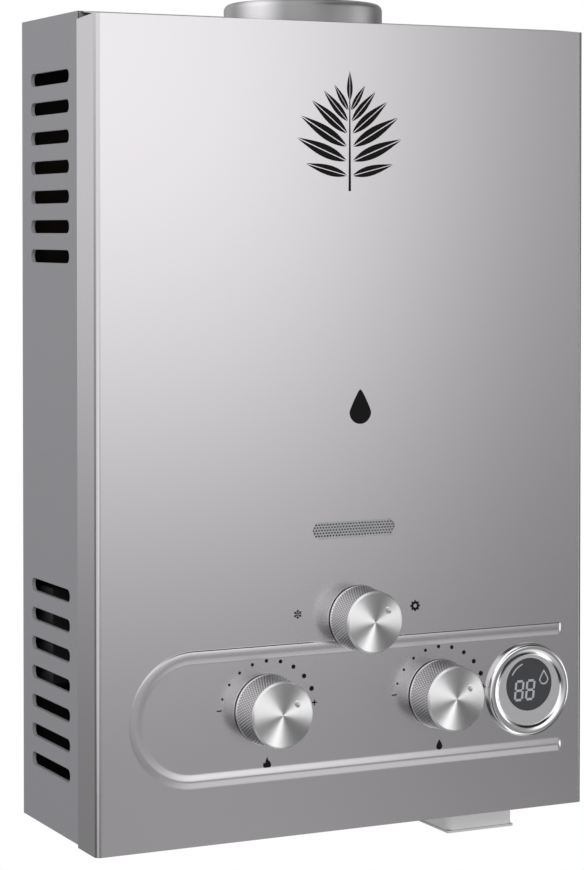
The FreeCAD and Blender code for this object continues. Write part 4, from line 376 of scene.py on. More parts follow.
def repeated(name, shape, spots, finish):
    """A mesh with a copy of a shape on every spot, made by Geometry Nodes.

    A spot is a place, a turn as three angles and a size as three factors.
    """
    tree = bpy.data.node_groups.new(name + "_repeat", "GeometryNodeTree")
    names = {}
    for key, kind in (("Spots", "Geometry"), ("Shape", "Object"), ("Finish", "Material")):
        names[key] = tree.interface.new_socket(
            key, in_out="INPUT", socket_type="NodeSocket" + kind).identifier
    tree.interface.new_socket("Copies", in_out="OUTPUT", socket_type="NodeSocketGeometry")
    enter, leave, info, setter, real, paint = [tree.nodes.new(kind) for kind in (
        "NodeGroupInput", "NodeGroupOutput", "GeometryNodeObjectInfo",
        "GeometryNodeInstanceOnPoints", "GeometryNodeRealizeInstances",
        "GeometryNodeSetMaterial")]
    for source, output, target, socket in (
            (enter, "Spots", setter, "Points"), (enter, "Shape", info, "Object"),
            (info, "Geometry", setter, "Instance"), (setter, "Instances", real, "Geometry"),
            (real, "Geometry", paint, "Geometry"), (enter, "Finish", paint, "Material"),
            (paint, "Geometry", leave, "Copies")):
        tree.links.new(source.outputs[output], target.inputs[socket])
    for attribute, socket in (("turn", "Rotation"), ("size", "Scale")):
        reader = tree.nodes.new("GeometryNodeInputNamedAttribute")
        reader.data_type = "FLOAT_VECTOR"
        reader.inputs["Name"].default_value = attribute
        found = next(entry for entry in reader.outputs
                     if entry.enabled and entry.name == "Attribute")
        tree.links.new(found, setter.inputs[socket])

    cloud = bpy.data.meshes.new(name + "_spots")
    cloud.from_pydata([spot[0] for spot in spots], [], [])
    for column, attribute in ((1, "turn"), (2, "size")):
        layer = cloud.attributes.new(attribute, "FLOAT_VECTOR", "POINT")
        layer.data.foreach_set("vector", [part for spot in spots for part in spot[column]])
    stamp, carrier = linked(name + "_stamp", shape), linked(name + "_carrier", cloud)
    modifier = carrier.modifiers.new("repeat", "NODES")
    modifier.node_group = tree
    modifier[names["Shape"]] = stamp
    modifier[names["Finish"]] = finish
    mesh = applied(carrier)
    mesh.name = name
    bpy.data.objects.remove(stamp)
    return mesh


def disc(radius, count):
    """The outline of a disc about the origin."""
    return arc((0, 0), (radius, radius), 0, 360, count)[:-1]


def arc(centre, reach, first, last, steps):
    """Points from one angle to another, in degrees, with a reach along either axis."""
    angles = [radians(first + (last - first) * step / steps) for step in range(steps + 1)]
    return [(centre[0] + reach[0] * cos(angle), centre[1] + reach[1] * sin(angle))
            for angle in angles]


def ribbon(outer, inner):
    """Quads between two rows of points."""
    return [[outer[step], outer[step + 1], inner[step + 1], inner[step]]
            for step in range(len(outer) - 1)]


def bar(start, end, width):
    """The outline of a straight bar between two points."""
    start, end = Vector(start), Vector(end)
    along = end - start
    side = Vector((-along.y, along.x)).normalized() * width / 2
    return [tuple(point) for point in (start - side, end - side, end + side, start + side)]


def toward(angle):
    """The flat unit vector at an angle."""
    return Vector((cos(angle), sin(angle)))


def teardrop(width, taper, above, below, count):
    """The outline of a drop: half its width, how it narrows, and its reach up and down."""
    points = []
    for step in range(count):
        angle = 2 * pi * step / count
        rise = sin(angle)
        points.append((width * cos(angle) * (1 - max(0, rise) * taper),
                       rise * (above if rise > 0 else below)))
    return points


def millimetres(points):
    return [(across * MM, up * MM) for across, up in points]


def moved(outlines, at, scale=1.0):
    """Outlines in millimetres, scaled and put in their place."""
    scale *= MM
    return [[(at[0] + x * scale, at[1] + z * scale) for x, z in outline] for outline in outlines]


# ---- settings ----

def number(name, description, default, **more):
    return FloatProperty(name=name, description=description, default=default, **more)


def length(name, description, default):
    return number(name, description, default, subtype="DISTANCE", unit="LENGTH")


def turn(name, description, degrees):
    return number(name, description, radians(degrees), subtype="ANGLE", unit="ROTATION")


def tint(name, description, default):
    return FloatVectorProperty(name=name, description=description, default=default,
                               subtype="COLOR")


class HeaterStageSettings(bpy.types.PropertyGroup):
    """Camera, floor and light."""

    lens: number("Lens", "Focal length in millimetres", 104.415, min=10)
    drop: number("Lens Drop", "Downward shift of the lens", 0.17)
    camera: FloatVectorProperty(name="Camera", description="Place of the camera",
                                default=(-0.9182, -1.9211, -0.1230), subtype="XYZ",
                                unit="LENGTH")
    yaw: turn("Yaw", "Turn of the camera to the right", 26.2001)
    tilt: turn("Tilt", "Downward tilt of the camera", 1.2639)
    floor: length("Floor", "Height of the floor", -3.2)
    fill: number("Fill", "Strength of the even light", 0.75)
    key: number("Key Power", "Power of the large lamp in watts", 95)
    dome: length("Dome", "Radius of the mirrored studio dome", 8)


class HeaterShellSettings(bpy.types.PropertyGroup):
    """Sheet-metal pieces."""

    silver: tint("Front Silver", "Colour of the front cover", (0.62, 0.6, 0.62))
    gloss: number("Front Roughness", "Roughness of the front cover", 0.21, min=0, max=1)
    grey: tint("Casing Grey", "Colour of the casing", (0.222, 0.222, 0.238))
    bend: length("Bend", "Radius of the cover's upright bends", 4.6 * MM)
    rib: length("Rib Height", "How far the rib stands proud", 1.2 * MM)
    lip: length("Slot Lip", "Depth of the turned-in slot edges", 2.2 * MM)


class HeaterControlSettings(bpy.types.PropertyGroup):
    """Knobs and their dials."""

    groove: length("Groove Pitch", "Distance between turned grooves", 0.5 * MM)
    shallow: turn("Least Slope", "Slope of every second groove", 25)
    steep: turn("Greatest Slope", "Slope of the other grooves", 27)
    knurls: IntProperty(name="Knurls", description="Diamonds round a knob", default=72, min=12)
    knurl: length("Knurl Depth", "Depth of the diamonds", 0.4 * MM)
    dial: length("Dial Radius", "Distance of the dots from the dial's centre", 41.6 * MM)
    dots: IntProperty(name="Dots", description="Dots round each dial", default=9, min=2)


class HeaterPrintSettings(bpy.types.PropertyGroup):
    """Printed marks and the glow of the display."""

    ink: tint("Ink", "Colour of the prints", (0.004, 0.004, 0.004))
    glow: tint("Digits", "Colour of the display's digits", (0.3, 0.31, 0.33))
    sprig: length("Sprig Height", "Height of the printed sprig", 94 * MM)


# ---- stage ----

class HEATER_OT_stage(bpy.types.Operator):
    """Set the camera, the floor, the studio dome and the lamp"""

    bl_idname = "heater.stage"
    bl_label = "Stage"

    SENSOR = 36
    LAMP_WIDTH, LAMP_AT, LAMP_AIM = 2.2, (-2.4, -3.2, 1.9), (0, 0, -0.3)
    FLOOR_REACH, FLOOR_TONE, FLOOR_FADE = 30, (0.82, 0.82, 0.82, 1), (0.6, 1.8)
    PEAK = 4
    # Panels of the studio that polished pieces mirror: glow, bearings, heights and softness.
    PATCHES = (
        (0.4, -95, 110, -95, -24, 4),
        (0.03, 46, 84, -56, -20, 4),
        (0.62, 20, 38, -30, -19.5, 3),
        (1.0, 20, 38, -38, -26, 5),
        (2.15, 6, 35, -72, -40, 3),
        (0.02, -4, 68, 15, 50, 4),
        (1.8, 50, 80, -21, 6, 3),
        (1.15, -62, -18, -21, 30, 6),
        (0.42, -120, -72, -40, 3, 4),
        (0.12, -118, -72, -40, -9, 4),
        (0.05, 82, 112, -30, 60, 4),
        (0.02, -36, -3, -50, -19, 3),
    )

    def execute(self, context):
        settings = context.scene.heater_stage
        context.scene.view_settings.view_transform = "Standard"
        self.camera(context.scene, settings)
        self.lamp(settings)
        self.world(context.scene, settings)
        self.floor(settings)
        self.dome(settings)
        return {"FINISHED"}

    def camera(self, scene, settings):
        data = bpy.data.cameras.new("camera")
        data.sensor_width = self.SENSOR
        data.lens = settings.lens
        data.shift_y = -settings.drop
        camera = linked("camera", data)
        camera.location = settings.camera
        camera.rotation_euler = (pi / 2 - settings.tilt, 0, -settings.yaw)
        scene.camera = camera

    def lamp(self, settings):
        """A large soft lamp that nothing mirrors."""
        data = bpy.data.lights.new("key", "AREA")
        data.shape = "DISK"
        data.size = self.LAMP_WIDTH
        data.energy = settings.key
        lamp = linked("key", data)
        lamp.location = self.LAMP_AT
        aim = Vector(self.LAMP_AIM) - lamp.location
        lamp.rotation_euler = aim.to_track_quat("-Z", "Y").to_euler()
        lamp.visible_camera = False
        lamp.visible_glossy = False

    def world(self, scene, settings):
        """White where it's seen or mirrored, and an even light elsewhere."""
        world = bpy.data.worlds.new("studio")
        scene.world = world
        graph = Graph(world)
        camera, glossy, through = [
            graph.node("ShaderNodeLightPath", output=name)
            for name in ("Is Camera Ray", "Is Glossy Ray", "Is Transmission Ray")]
        plain, white = [
            graph.node("ShaderNodeBackground", inputs={"Color": WHITE, "Strength": strength})
            for strength in (settings.fill, 1.0)]
        mixed = graph.node("ShaderNodeMixShader",
                           inputs={0: camera + glossy + through, 1: plain, 2: white})
        graph.node("ShaderNodeOutputWorld", inputs={"Surface": mixed})

    def floor(self, settings):
        """A pale disc that turns white with distance, so that no edge shows."""
        material = bpy.data.materials.new("floor")
        graph = Graph(material)
        east, north, _ = graph.parts()
        reach = graph.maths("SQRT", east * east + north * north)
        seen = graph.node("ShaderNodeLightPath", output="Is Camera Ray")
        plain = graph.node("ShaderNodeBsdfDiffuse", inputs={"Color": self.FLOOR_TONE})
        white = graph.node("ShaderNodeEmission", inputs={"Color": WHITE})
        far = graph.step(reach, *self.FLOOR_FADE) * seen
        mixed = graph.node("ShaderNodeMixShader", inputs={0: far, 1: plain, 2: white})
        graph.node("ShaderNodeOutputMaterial", inputs={"Surface": mixed})
        mesh = plates("floor", [disc(self.FLOOR_REACH, 96)], 0, 0.02)
        mesh.transform(Matrix.Rotation(pi / 2, 4, "X"))
        mesh.transform(Matrix.Translation((0, 0, settings.floor)))
        mesh.materials.append(material)
        floor = linked("floor", mesh)
        floor.visible_glossy = False

    def dome(self, settings):
        """What polished pieces mirror: a bright room on the left, a dim one on the right."""
        material = bpy.data.materials.new("dome")
        graph = Graph(material)
        direction = graph.node("ShaderNodeVectorMath", {"operation": "NORMALIZE"},
                               {0: graph.place()})
        east, north, up = graph.parts(direction)
        bearing = graph.degrees("ARCTAN2", east, 0 - north)
        height = graph.degrees("ARCSINE", up)
        rise = graph.step(height, -16.5, 2.5)
        bright = (rise * 1.24 + 0.36) * graph.step(bearing, 7, 18, 0.74, 1)
        dim = rise * 0.13 + 0.225
        level = bright + (dim - bright) * graph.step(bearing, 24, 33.5)
        level = level + (rise * 0.58 + 0.28 - level) * graph.step(bearing, -130, -90, 1, 0)
        for glow, west, east, low, high, soft in self.PATCHES:
            inside = (graph.within(bearing, west, east, soft)
                      * graph.within(height, low, high, soft))
            level = level + (glow - level) * inside
        colour = graph.blend(level / self.PEAK, BLACK, (*[self.PEAK] * 3, 1))
        glow = graph.node("ShaderNodeEmission", inputs={"Color": colour})
        graph.node("ShaderNodeOutputMaterial", inputs={"Surface": glow})
        work = bmesh.new()
        bmesh.ops.create_icosphere(work, subdivisions=5, radius=settings.dome)
        mesh = emptied(work, "dome")
        mesh.materials.append(material)
        dome = linked("dome", mesh)
        for ray in ("camera", "diffuse", "shadow", "transmission"):
            setattr(dome, "visible_" + ray, False)


# ---- finishes ----

def cover_finish(settings):
    """Satin silver with a very fine grain, and painted shade on its right bend."""
    def shaded_right_bend(graph, coat):
        east, north, _ = graph.parts()
        # painted shade: the right bend turns darker, in place of the highlight it would mirror
        bend = (graph.step(east, SIDE_X - 4.6 * MM, SIDE_X - 3.6 * MM)
                * graph.step(north, FRONT_Y + 3 * MM, FRONT_Y + 4.5 * MM, 1, 0))
        return graph.blend(bend, coat, rgba(settings.silver, 0.36))

    return grained("cover_silver", settings.silver, settings.gloss, 1, 0.025, 900, over=shaded_right_bend)


def casing_finish(settings, name, inside):
    """Grey coating with a faint orange peel; the inside of the casing may be painted near black as
    painted shade.
    """
    def shaded_inside(graph, coat):
        east, north, up = graph.parts()
        # painted shade: inside the casing walls the grey turns near black
        inside_shade_mask = (graph.step(graph.maths("ABSOLUTE", east), 214.5 * MM, 214.7 * MM, 1, 0)
                  * graph.step(north, -0.6 * MM, -0.4 * MM, 1, 0)
                  * graph.step(up, FOOT_Z + 2 * MM, FOOT_Z + 4 * MM))
        return graph.blend(inside_shade_mask, coat, INSIDE_SHADE)

    return grained(name, settings.grey, 0.5, 0, 0.02, 500, 1e-5, shaded_inside if inside else None)


def knurl_finish():
    """Cut metal with painted shade in the hollows of the knurl, darker where the mesh's ridge
    values are low.
    """
    waves = 900
    painted_hollow_shade, crest = (0.36, 0.36, 0.37, 1), (0.86, 0.86, 0.87, 1)

    def colour(graph):
        # painted shade: the knurl's hollows take the darker colour
        ridge = graph.node("ShaderNodeAttribute", {"attribute_name": "ridge"}, output=2)
        share = graph.step(ridge + (graph.grain(waves) * 0.2 - 0.1), 0.05, 0.75)
        return graph.blend(share, painted_hollow_shade, crest)

    return principled("knob_side", colour, lambda graph: graph.grain(waves) * 0.1 + 0.25, 1)


def collar_finish():
    """Rolled steel with painted light and shade by bearing round the collar: a painted highlight
    band on the front left, darker over the front middle, lighter to the right.
    """
    waves = (60, 60, 900)

    def colour(graph):
        # painted highlight and painted shade, set by the bearing round the collar's axis
        east, north, _ = graph.parts()
        bearing = graph.degrees("ARCTAN2", east, FLUE_Y - north)
        away = graph.maths("ABSOLUTE", bearing + 62)
        level = (graph.step(bearing, -8, 14, 0.31, 0.66) + graph.step(bearing, -95, -75, 0.1, 0)
                 - graph.step(bearing, 90, 170, 0, 0.25) + graph.step(away, 2, 25, 0.56, 0))
        return graph.blend(level * (graph.grain(waves) * 0.1 + 0.95), BLACK, (1, 0.98, 1, 1))

    return principled("collar_steel", colour, lambda graph: graph.grain(waves) * 0.1 + 0.37, 1)


class HEATER_OT_finishes(bpy.types.Operator):
    """Give every solid of the frame its finish"""

    bl_idname = "heater.finishes"
    bl_label = "Finishes"

    def execute(self, context):
        settings = context.scene.heater_shell
        made = {slot: grained(slot, *row) for slot, row in FINISHES.items()}
        made["silver_paint"] = casing_finish(settings, "casing_grey", False)
        shaded_walls = casing_finish(settings, "casing_walls", True)
        knurl_finish()
        collar_finish()
        own = {"front_cover": cover_finish(settings), "rear_casing": shaded_walls}
        slots = {part["node"]: part["material_slot"] for part in frame["record"]["subparts"]}
        for name, thing in frame["nodes"].items():
            finish = own.get(name) or made[slots[name]]
            for entry in thing.material_slots:
                entry.material = finish
        return {"FINISHED"}


def finish(name):
    """The finish that an earlier operator made."""
    return bpy.data.materials[name]


# ---- sheet metal ----

class HEATER_OT_cover(bpy.types.Operator):
    """Smooth the front cover's bends and press its rib with rounded flanks"""

    bl_idname = "heater.cover"
    bl_label = "Front Cover"

    def execute(self, context):
        settings = context.scene.heater_shell
        for mesh in (self.sheet(settings.bend), self.rib(settings.rib)):
            add_piece(mesh, finish("cover_silver"), "casing", "silver_paint", "front_cover")
        return {"FINISHED"}

    def sheet(self, bend):
        """The cover without its rib, with wider bends along its sides."""
        work = merged_solid("front_cover")
        proud = [face for face in work.faces
                 if min(corner.co.y for corner in face.verts) < FRONT_Y - 0.02 * MM]
        bmesh.ops.delete(work, geom=proud, context="FACES")
        self.soften(work, bend)
        return flattened(emptied(work, "cover_sheet"), (60 * MM) ** 2)

    def soften(self, work, bend):
        """Widens the upright bends: points near a corner move onto an arc of the new radius."""
        side, old, steps = SIDE_X, 2.6 * MM, 8
        for step in range(1, steps + 1):
            inset = bend * step / steps
            for at, across in (((inset - side, 0, 0), (1, 0, 0)),
                               ((side - inset, 0, 0), (1, 0, 0)),
                               ((0, FRONT_Y + inset, 0), (0, 1, 0))):
                bmesh.ops.bisect_plane(work, geom=[*work.verts, *work.edges, *work.faces],
                                       plane_co=at, plane_no=across)
        middle = old * (1 - math.sqrt(0.5))
        for corner in work.verts:
            inward, back = side - abs(corner.co.x), corner.co.y - FRONT_Y
            if max(inward, back) >= bend:
                continue
            run, depth = (inward, back) if inward > back else (back, inward)
            if run < old:
                depth -= old - math.sqrt(old ** 2 - (old - run) ** 2)
            angle = pi / 4 * min(1, (bend - run) / (bend - middle))
            reach = bend - max(0, depth)
            along, deep = bend - reach * sin(angle), bend - reach * cos(angle)
            inward, back = (along, deep) if inward > back else (deep, along)
            corner.co.x = math.copysign(side - inward, corner.co.x)
            corner.co.y = FRONT_Y + back

    def rib(self, height):
        """Two straight runs joined by a half ring; the crown leans inward along the upper run."""
        half, rows = 6 * MM, 32
        radius, left, end = 47.3 * MM, -136 * MM, 195.6 * MM
        upper = ((-6, 0), (-4.8, 0), (-4.2, 0.03), (-2.6, 0.2), (-0.6, 0.38), (1, 0.44),
                 (2.8, 0.44), (4.6, 0.36), (4.9, 0.32), (5.7, 0.04), (6, 0))
        lower = ((-6, 0), (-5.3, 0.04), (-1.2, 0.54), (-0.2, 0.58), (0.8, 0.53), (4.9, 0.04),
                 (6, 0))

        def crown(shape, offset):
            """Height share at an offset, by a cubic through the shape's points."""
            offset = max(-6.0, min(6.0, offset))
            for index in range(len(shape) - 1):
                (start, low), (stop, high) = shape[index], shape[index + 1]
                if offset <= stop:
                    break
            before = shape[max(index - 1, 0)]
            after = shape[min(index + 2, len(shape) - 1)]
            share = (offset - start) / (stop - start)
            leave = (high - before[1]) / (stop - before[0]) * (stop - start)
            enter = (after[1] - low) / (after[0] - start) * (stop - start)
            square, cube = share * share, share ** 3
            return ((2 * cube - 3 * square + 1) * low + (cube - 2 * square + share) * leave
                    + (3 * square - 2 * cube) * high + (cube - square) * enter)

        # stations along the rib: x, the outward direction and the share of its height
        run = [(end - back * MM, min(1.0, back / 3))
               for back in (0, 0.5, 1, 1.5, 2, 2.5, 3, 3.5, 40, 120, 240, 331.6)]
        upward, downward = [[(x, 0, side, fade * fade * (3 - 2 * fade)) for x, fade in run]
                            for side in (1, -1)]
        angles = [pi / 2 + pi * step / 64 for step in range(1, 64)]
        bend = [(left + radius * cos(angle), cos(angle), sin(angle), 1 - 0.6 * cos(angle) ** 2)
                for angle in angles]
        points = []
        for x, out_x, out_z, fade in upward + bend + downward[::-1]:
            z, share = DISPLAY[1] + radius * out_z, (1 + out_z) / 2
            for row in range(rows + 1):
                offset = 12 * row / rows - 6
                rise = (crown(upper, offset) * share + crown(lower, -offset) * (1 - share))
                rise = height * fade * rise + 0.02 * MM
                offset *= half / 6
                points.append((x + out_x * offset, FRONT_Y - rise, z + out_z * offset))
        faces = strip_faces(len(points) // (rows + 1), rows + 1, closed_columns=False)
        return finished_mesh("cover_rib", points, faces, 60, outward=Vector((0, -1, 0)))


class HEATER_OT_lid(bpy.types.Operator):
    """Trim the battery lid to the width of its box"""

    bl_idname = "heater.lid"
    bl_label = "Battery Lid"

    def execute(self, context):
        across = [corner.co.x for corner in frame["nodes"]["battery_box"].data.vertices]
        left, right = min(across), max(across)
        work = merged_solid("battery_lid")
        for corner in work.verts:
            corner.co.x = min(max(corner.co.x, left), right)
        mesh = smoothed(emptied(work, "lid_tray"), 30)
        add_piece(mesh, finish("box_plastic"), "lid", "box_plastic", "battery_lid")
        return {"FINISHED"}


class HEATER_OT_louvres(bpy.types.Operator):
    """Turn the edges of the side slots in"""

    bl_idname = "heater.louvres"
    bl_label = "Slot Lips"

    def execute(self, context):
        depth, proud = context.scene.heater_shell.lip, -0.72 * MM
        wall, middle, length, height = 214.2 * MM, -62 * MM, 84 * MM, 11 * MM

        def ring(inset, corner):
            """Points round a slot's edge, set in by some width, with rounded corners."""
            points = []
            for quarter, (sign_y, sign_z) in enumerate(((1, 1), (-1, 1), (-1, -1), (1, -1))):
                centre = (sign_y * (length / 2 - inset - corner),
                          sign_z * (height / 2 - inset - corner))
                points += arc(centre, (corner, corner), 90 * quarter, 90 * quarter + 90, 8)
            return points

        outer, inner = ring(0.02 * MM, 3.5 * MM), ring(0.35 * MM, 5 * MM)
        rings = []
        for points, reach in ((outer, proud), (outer, depth), (inner, depth), (inner, proud)):
            rings += [(reach, y, z) for y, z in points]
        lip = finished_mesh("slot_lip", rings, strip_faces(4, len(outer), closed_rows=True))
        spots = [((side * wall, middle, foot + row * SLOT_PITCH), (0, 0, turn), (1, 1, 1))
                 for side, turn in ((-1, 0), (1, pi)) for foot in SLOT_FEET
                 for row in range(SLOT_ROWS)]
        mesh = repeated("slot_lips", lip, spots, finish("casing_grey"))
        add_piece(mesh, finish("casing_grey"), "casing", "silver_paint")
        return {"FINISHED"}


class HEATER_OT_collar(bpy.types.Operator):
    """Roll the rim of the flue collar"""

    bl_idname = "heater.collar"
    bl_label = "Flue Collar"

    def execute(self, context):
        outer, curl, sheet, top = 64.5, 5.2, 0.8, 61.2
        centre, within = (outer - curl, top - curl), curl - sheet
        outline = [(62.5, 33), (62.5, 41.2), (outer, 41.6)]
        outline += arc(centre, (curl, curl), 0, 180, 12)
        outline += arc(centre, (within, within), 180, 0, 12)
        outline += [(outer - sheet, 42.4), (61.7, 42), (61.7, 33)]
        mesh = turned("flue_ring", millimetres(outline), (0, FLUE_Y, 0), "+Z", 128)
        add_piece(mesh, finish("collar_steel"), "casing", "bright_steel", "flue_collar")
        return {"FINISHED"}


# ---- controls ----

class HEATER_OT_knobs(bpy.types.Operator):
    """Turn the three knobs: knurled skirts and faces with fine turned grooves"""

    bl_idname = "heater.knobs"
    bl_label = "Knobs"

    def execute(self, context):
        settings = context.scene.heater_controls
        for name, (at, base, face, mark) in KNOBS.items():
            self.skirt(name, at, base, face, settings)
            self.face(name, at, face, radians(mark), settings)
        return {"FINISHED"}

    def skirt(self, name, at, base, face, settings):
        """The knurled side, which carries the height of its ridges as values."""
        foot, band, rows = 1.2 * MM, 1.4 * MM, 60
        shoulder = KNOB_STAND - KNOB_CHAMFER
        outline = [(face - KNOB_WALL, KNOB_INNER), (base - KNOB_WALL, foot), (base, foot),
                   (base, foot + band)]
        low, high = foot + band * 1.3, shoulder - MM
        slope = (face - base) / (shoulder - foot)
        knurled = set()
        for row in range(rows + 1):
            along = low + (high - low) * row / rows
            outline.append((base + slope * (along - foot), along))
            knurled.add(round(along, 9))
        outline += [(face, shoulder - 0.4 * MM), (face - KNOB_WALL, shoulder - 0.4 * MM)]

        def diamonds(radius, along, angle):
            if round(along, 9) not in knurled:
                return radius, along
            turn = settings.knurls * angle / 2
            climb = settings.knurls * along / base / 4
            ridge = abs(sin(turn + climb)) * abs(sin(turn - climb))
            return radius - settings.knurl * (1 - ridge), along

        mesh = turned(name + "_knob_skirt", outline, at, "-Y", settings.knurls * 6, diamonds, 35)
        # the ridge values are also the mask of the painted shade in the knurl's hollows
        hollow_shade_mask = mesh.attributes.new("ridge", "FLOAT", "POINT")
        for corner, tone in zip(mesh.vertices, hollow_shade_mask.data):
            reach = math.hypot(corner.co.x - at[0], corner.co.z - at[2])
            along = FRONT_Y - corner.co.y
            sunk = base + slope * (along - foot) - reach
            tone.value = 1 - sunk / settings.knurl if low <= along <= high else 1
        add_piece(mesh, finish("knob_side"), name + "_control", "knob_metal", name + "_knob")

    def face(self, name, at, edge, bearing, settings):
        """A disc whose fine turned grooves lean outward, as its normals tell."""
        rim, bevel = edge - KNOB_CHAMFER, KNOB_CHAMFER + 0.4 * MM
        pitch, groove = settings.groove, 0.012 * MM
        outline = [(edge - KNOB_WALL, KNOB_INNER), (edge, KNOB_STAND - bevel), (rim, KNOB_STAND)]
        for ring in range(int(rim / pitch), -1, -1):
            outline.append((ring * pitch, KNOB_STAND - groove * (ring % 2)))
        outline.append((0, KNOB_INNER))
        mark, width, spread, depth = 14.4 * MM, 1.8 * MM, radians(8), 1.6 * MM

        def dimple(radius, along, angle):
            if along < KNOB_STAND - 1.5 * MM:
                return radius, along
            away = ((radius - mark) / width) ** 2 + ((angle - bearing) / spread) ** 2
            return radius, along - depth * max(0, 1 - away)

        mesh = turned(name + "_knob_face", outline, at, "-Y", 112, dimple, 60)
        normals = [corner.vector.copy() for corner in mesh.corner_normals]

        def outward(point):
            return Vector((point.x - at[0], 0, point.z - at[2]))

        for face in mesh.polygons:
            if face.normal.y > -0.3:
                continue
            middle = outward(face.center)
            odd = int(middle.length / pitch) % 2
            lean = math.tan(settings.steep if odd else settings.shallow)
            for loop in face.loop_indices:
                out = outward(mesh.vertices[mesh.loops[loop].vertex_index].co)
                out = (out if out.length > 0.1 * MM else middle).normalized()
                if middle.length > rim:
                    normals[loop] = (Vector((0, -1, 0)) + out * bevel / KNOB_CHAMFER).normalized()
                else:
                    normals[loop] = (normals[loop] + out * lean).normalized()
        mesh.normals_split_custom_set(normals)
        add_piece(mesh, finish("knob_metal"), name + "_control", "knob_metal", name + "_knob")


class HEATER_OT_dials(bpy.types.Operator):
    """Print the dots, signs and icons round the knobs"""

    bl_idname = "heater.dials"
    bl_label = "Dials"

    def execute(self, context):
        settings = context.scene.heater_controls
        ink = grained("ink", context.scene.heater_prints.ink, 0.5, 0, 0.3, 2000,
                      Specular_IOR_Level=0.12)
        dot = printed("dot", [disc(0.5 * MM, 20)])
        first, last, small, large = 159.5, 24, 1.9, 4
        minus = [bar((-2.2, 0), (2.2, 0), 1)]
        plus = minus + [bar((0, 0.5), (0, 2.2), 1), bar((0, -2.2), (0, -0.5), 1)]
        spots, marks = [], []
        for name in ("gas", "water"):
            across, _, up = KNOBS[name][0]
            for step in range(settings.dots):
                share = step / (settings.dots - 1)
                angle = radians(first + (last - first) * share)
                size = small + (large - small) * share
                spots.append(((across + settings.dial * cos(angle) + 0.5 * MM, 0,
                               up - 3.7 * MM + settings.dial * sin(angle)), (0, 0, 0),
                              (size, 1, size)))
            marks += moved(minus, (across - 41 * MM, up + 2 * MM))
            marks += moved(plus, (across + 41 * MM, up + 2 * MM))
        add_piece(repeated("dial_dots", dot, spots, ink), ink, "casing", "silver_paint")
        for icon, across, up, scale in (
                (self.flake(), -46.6, 173.3, 1), (self.sun(), 58.1, 173.2, 1),
                (self.flame(), -73, 58.5, 1.25), (self.drop(), 80.4, 58.5, 1.25),
                (self.drop(), 8.5, 330, 4.2)):
            marks += moved(icon, (across * MM, FOOT_Z + up * MM), scale)
        add_piece(printed("control_icons", marks), ink, "casing", "silver_paint")
        return {"FINISHED"}

    def flake(self):
        """A six-armed snowflake."""
        arms = []
        for step in range(6):
            angle = pi / 3 * step + pi / 6
            out = toward(angle)
            arms.append(bar(out * 0.5, out * 3.6, 0.8))
            for turn in (-1, 1):
                arms.append(bar(out * 2, out * 2 + toward(angle + turn) * 1.3, 0.65))
        return arms

    def sun(self):
        """A ring with eight rays."""
        outer, inner = [arc((0, 0), (reach, reach), 0, 360, 24) for reach in (3.5, 1.6)]
        rays = [toward(pi / 4 * step) for step in range(8)]
        return ribbon(outer, inner) + [bar(out * 3.4, out * 4.4, 1.5) for out in rays]

    def flame(self):
        """A flame with a short tongue on its left."""
        return [((-0.2, -3.2), (1.6, -2.7), (2.5, -1.6), (2.6, -0.2), (1.9, 1.1), (0.9, 2),
                 (0.3, 3), (0.1, 4.4), (-0.9, 2.8), (-1.2, 1.2), (-1.7, 0.3), (-2.3, 1.3),
                 (-2.9, -0.2), (-2.8, -1.6), (-1.8, -2.8))]

    def drop(self):
        """A water drop."""
        return [teardrop(2.3, 0.62, 4.2, 2.3, 32)]


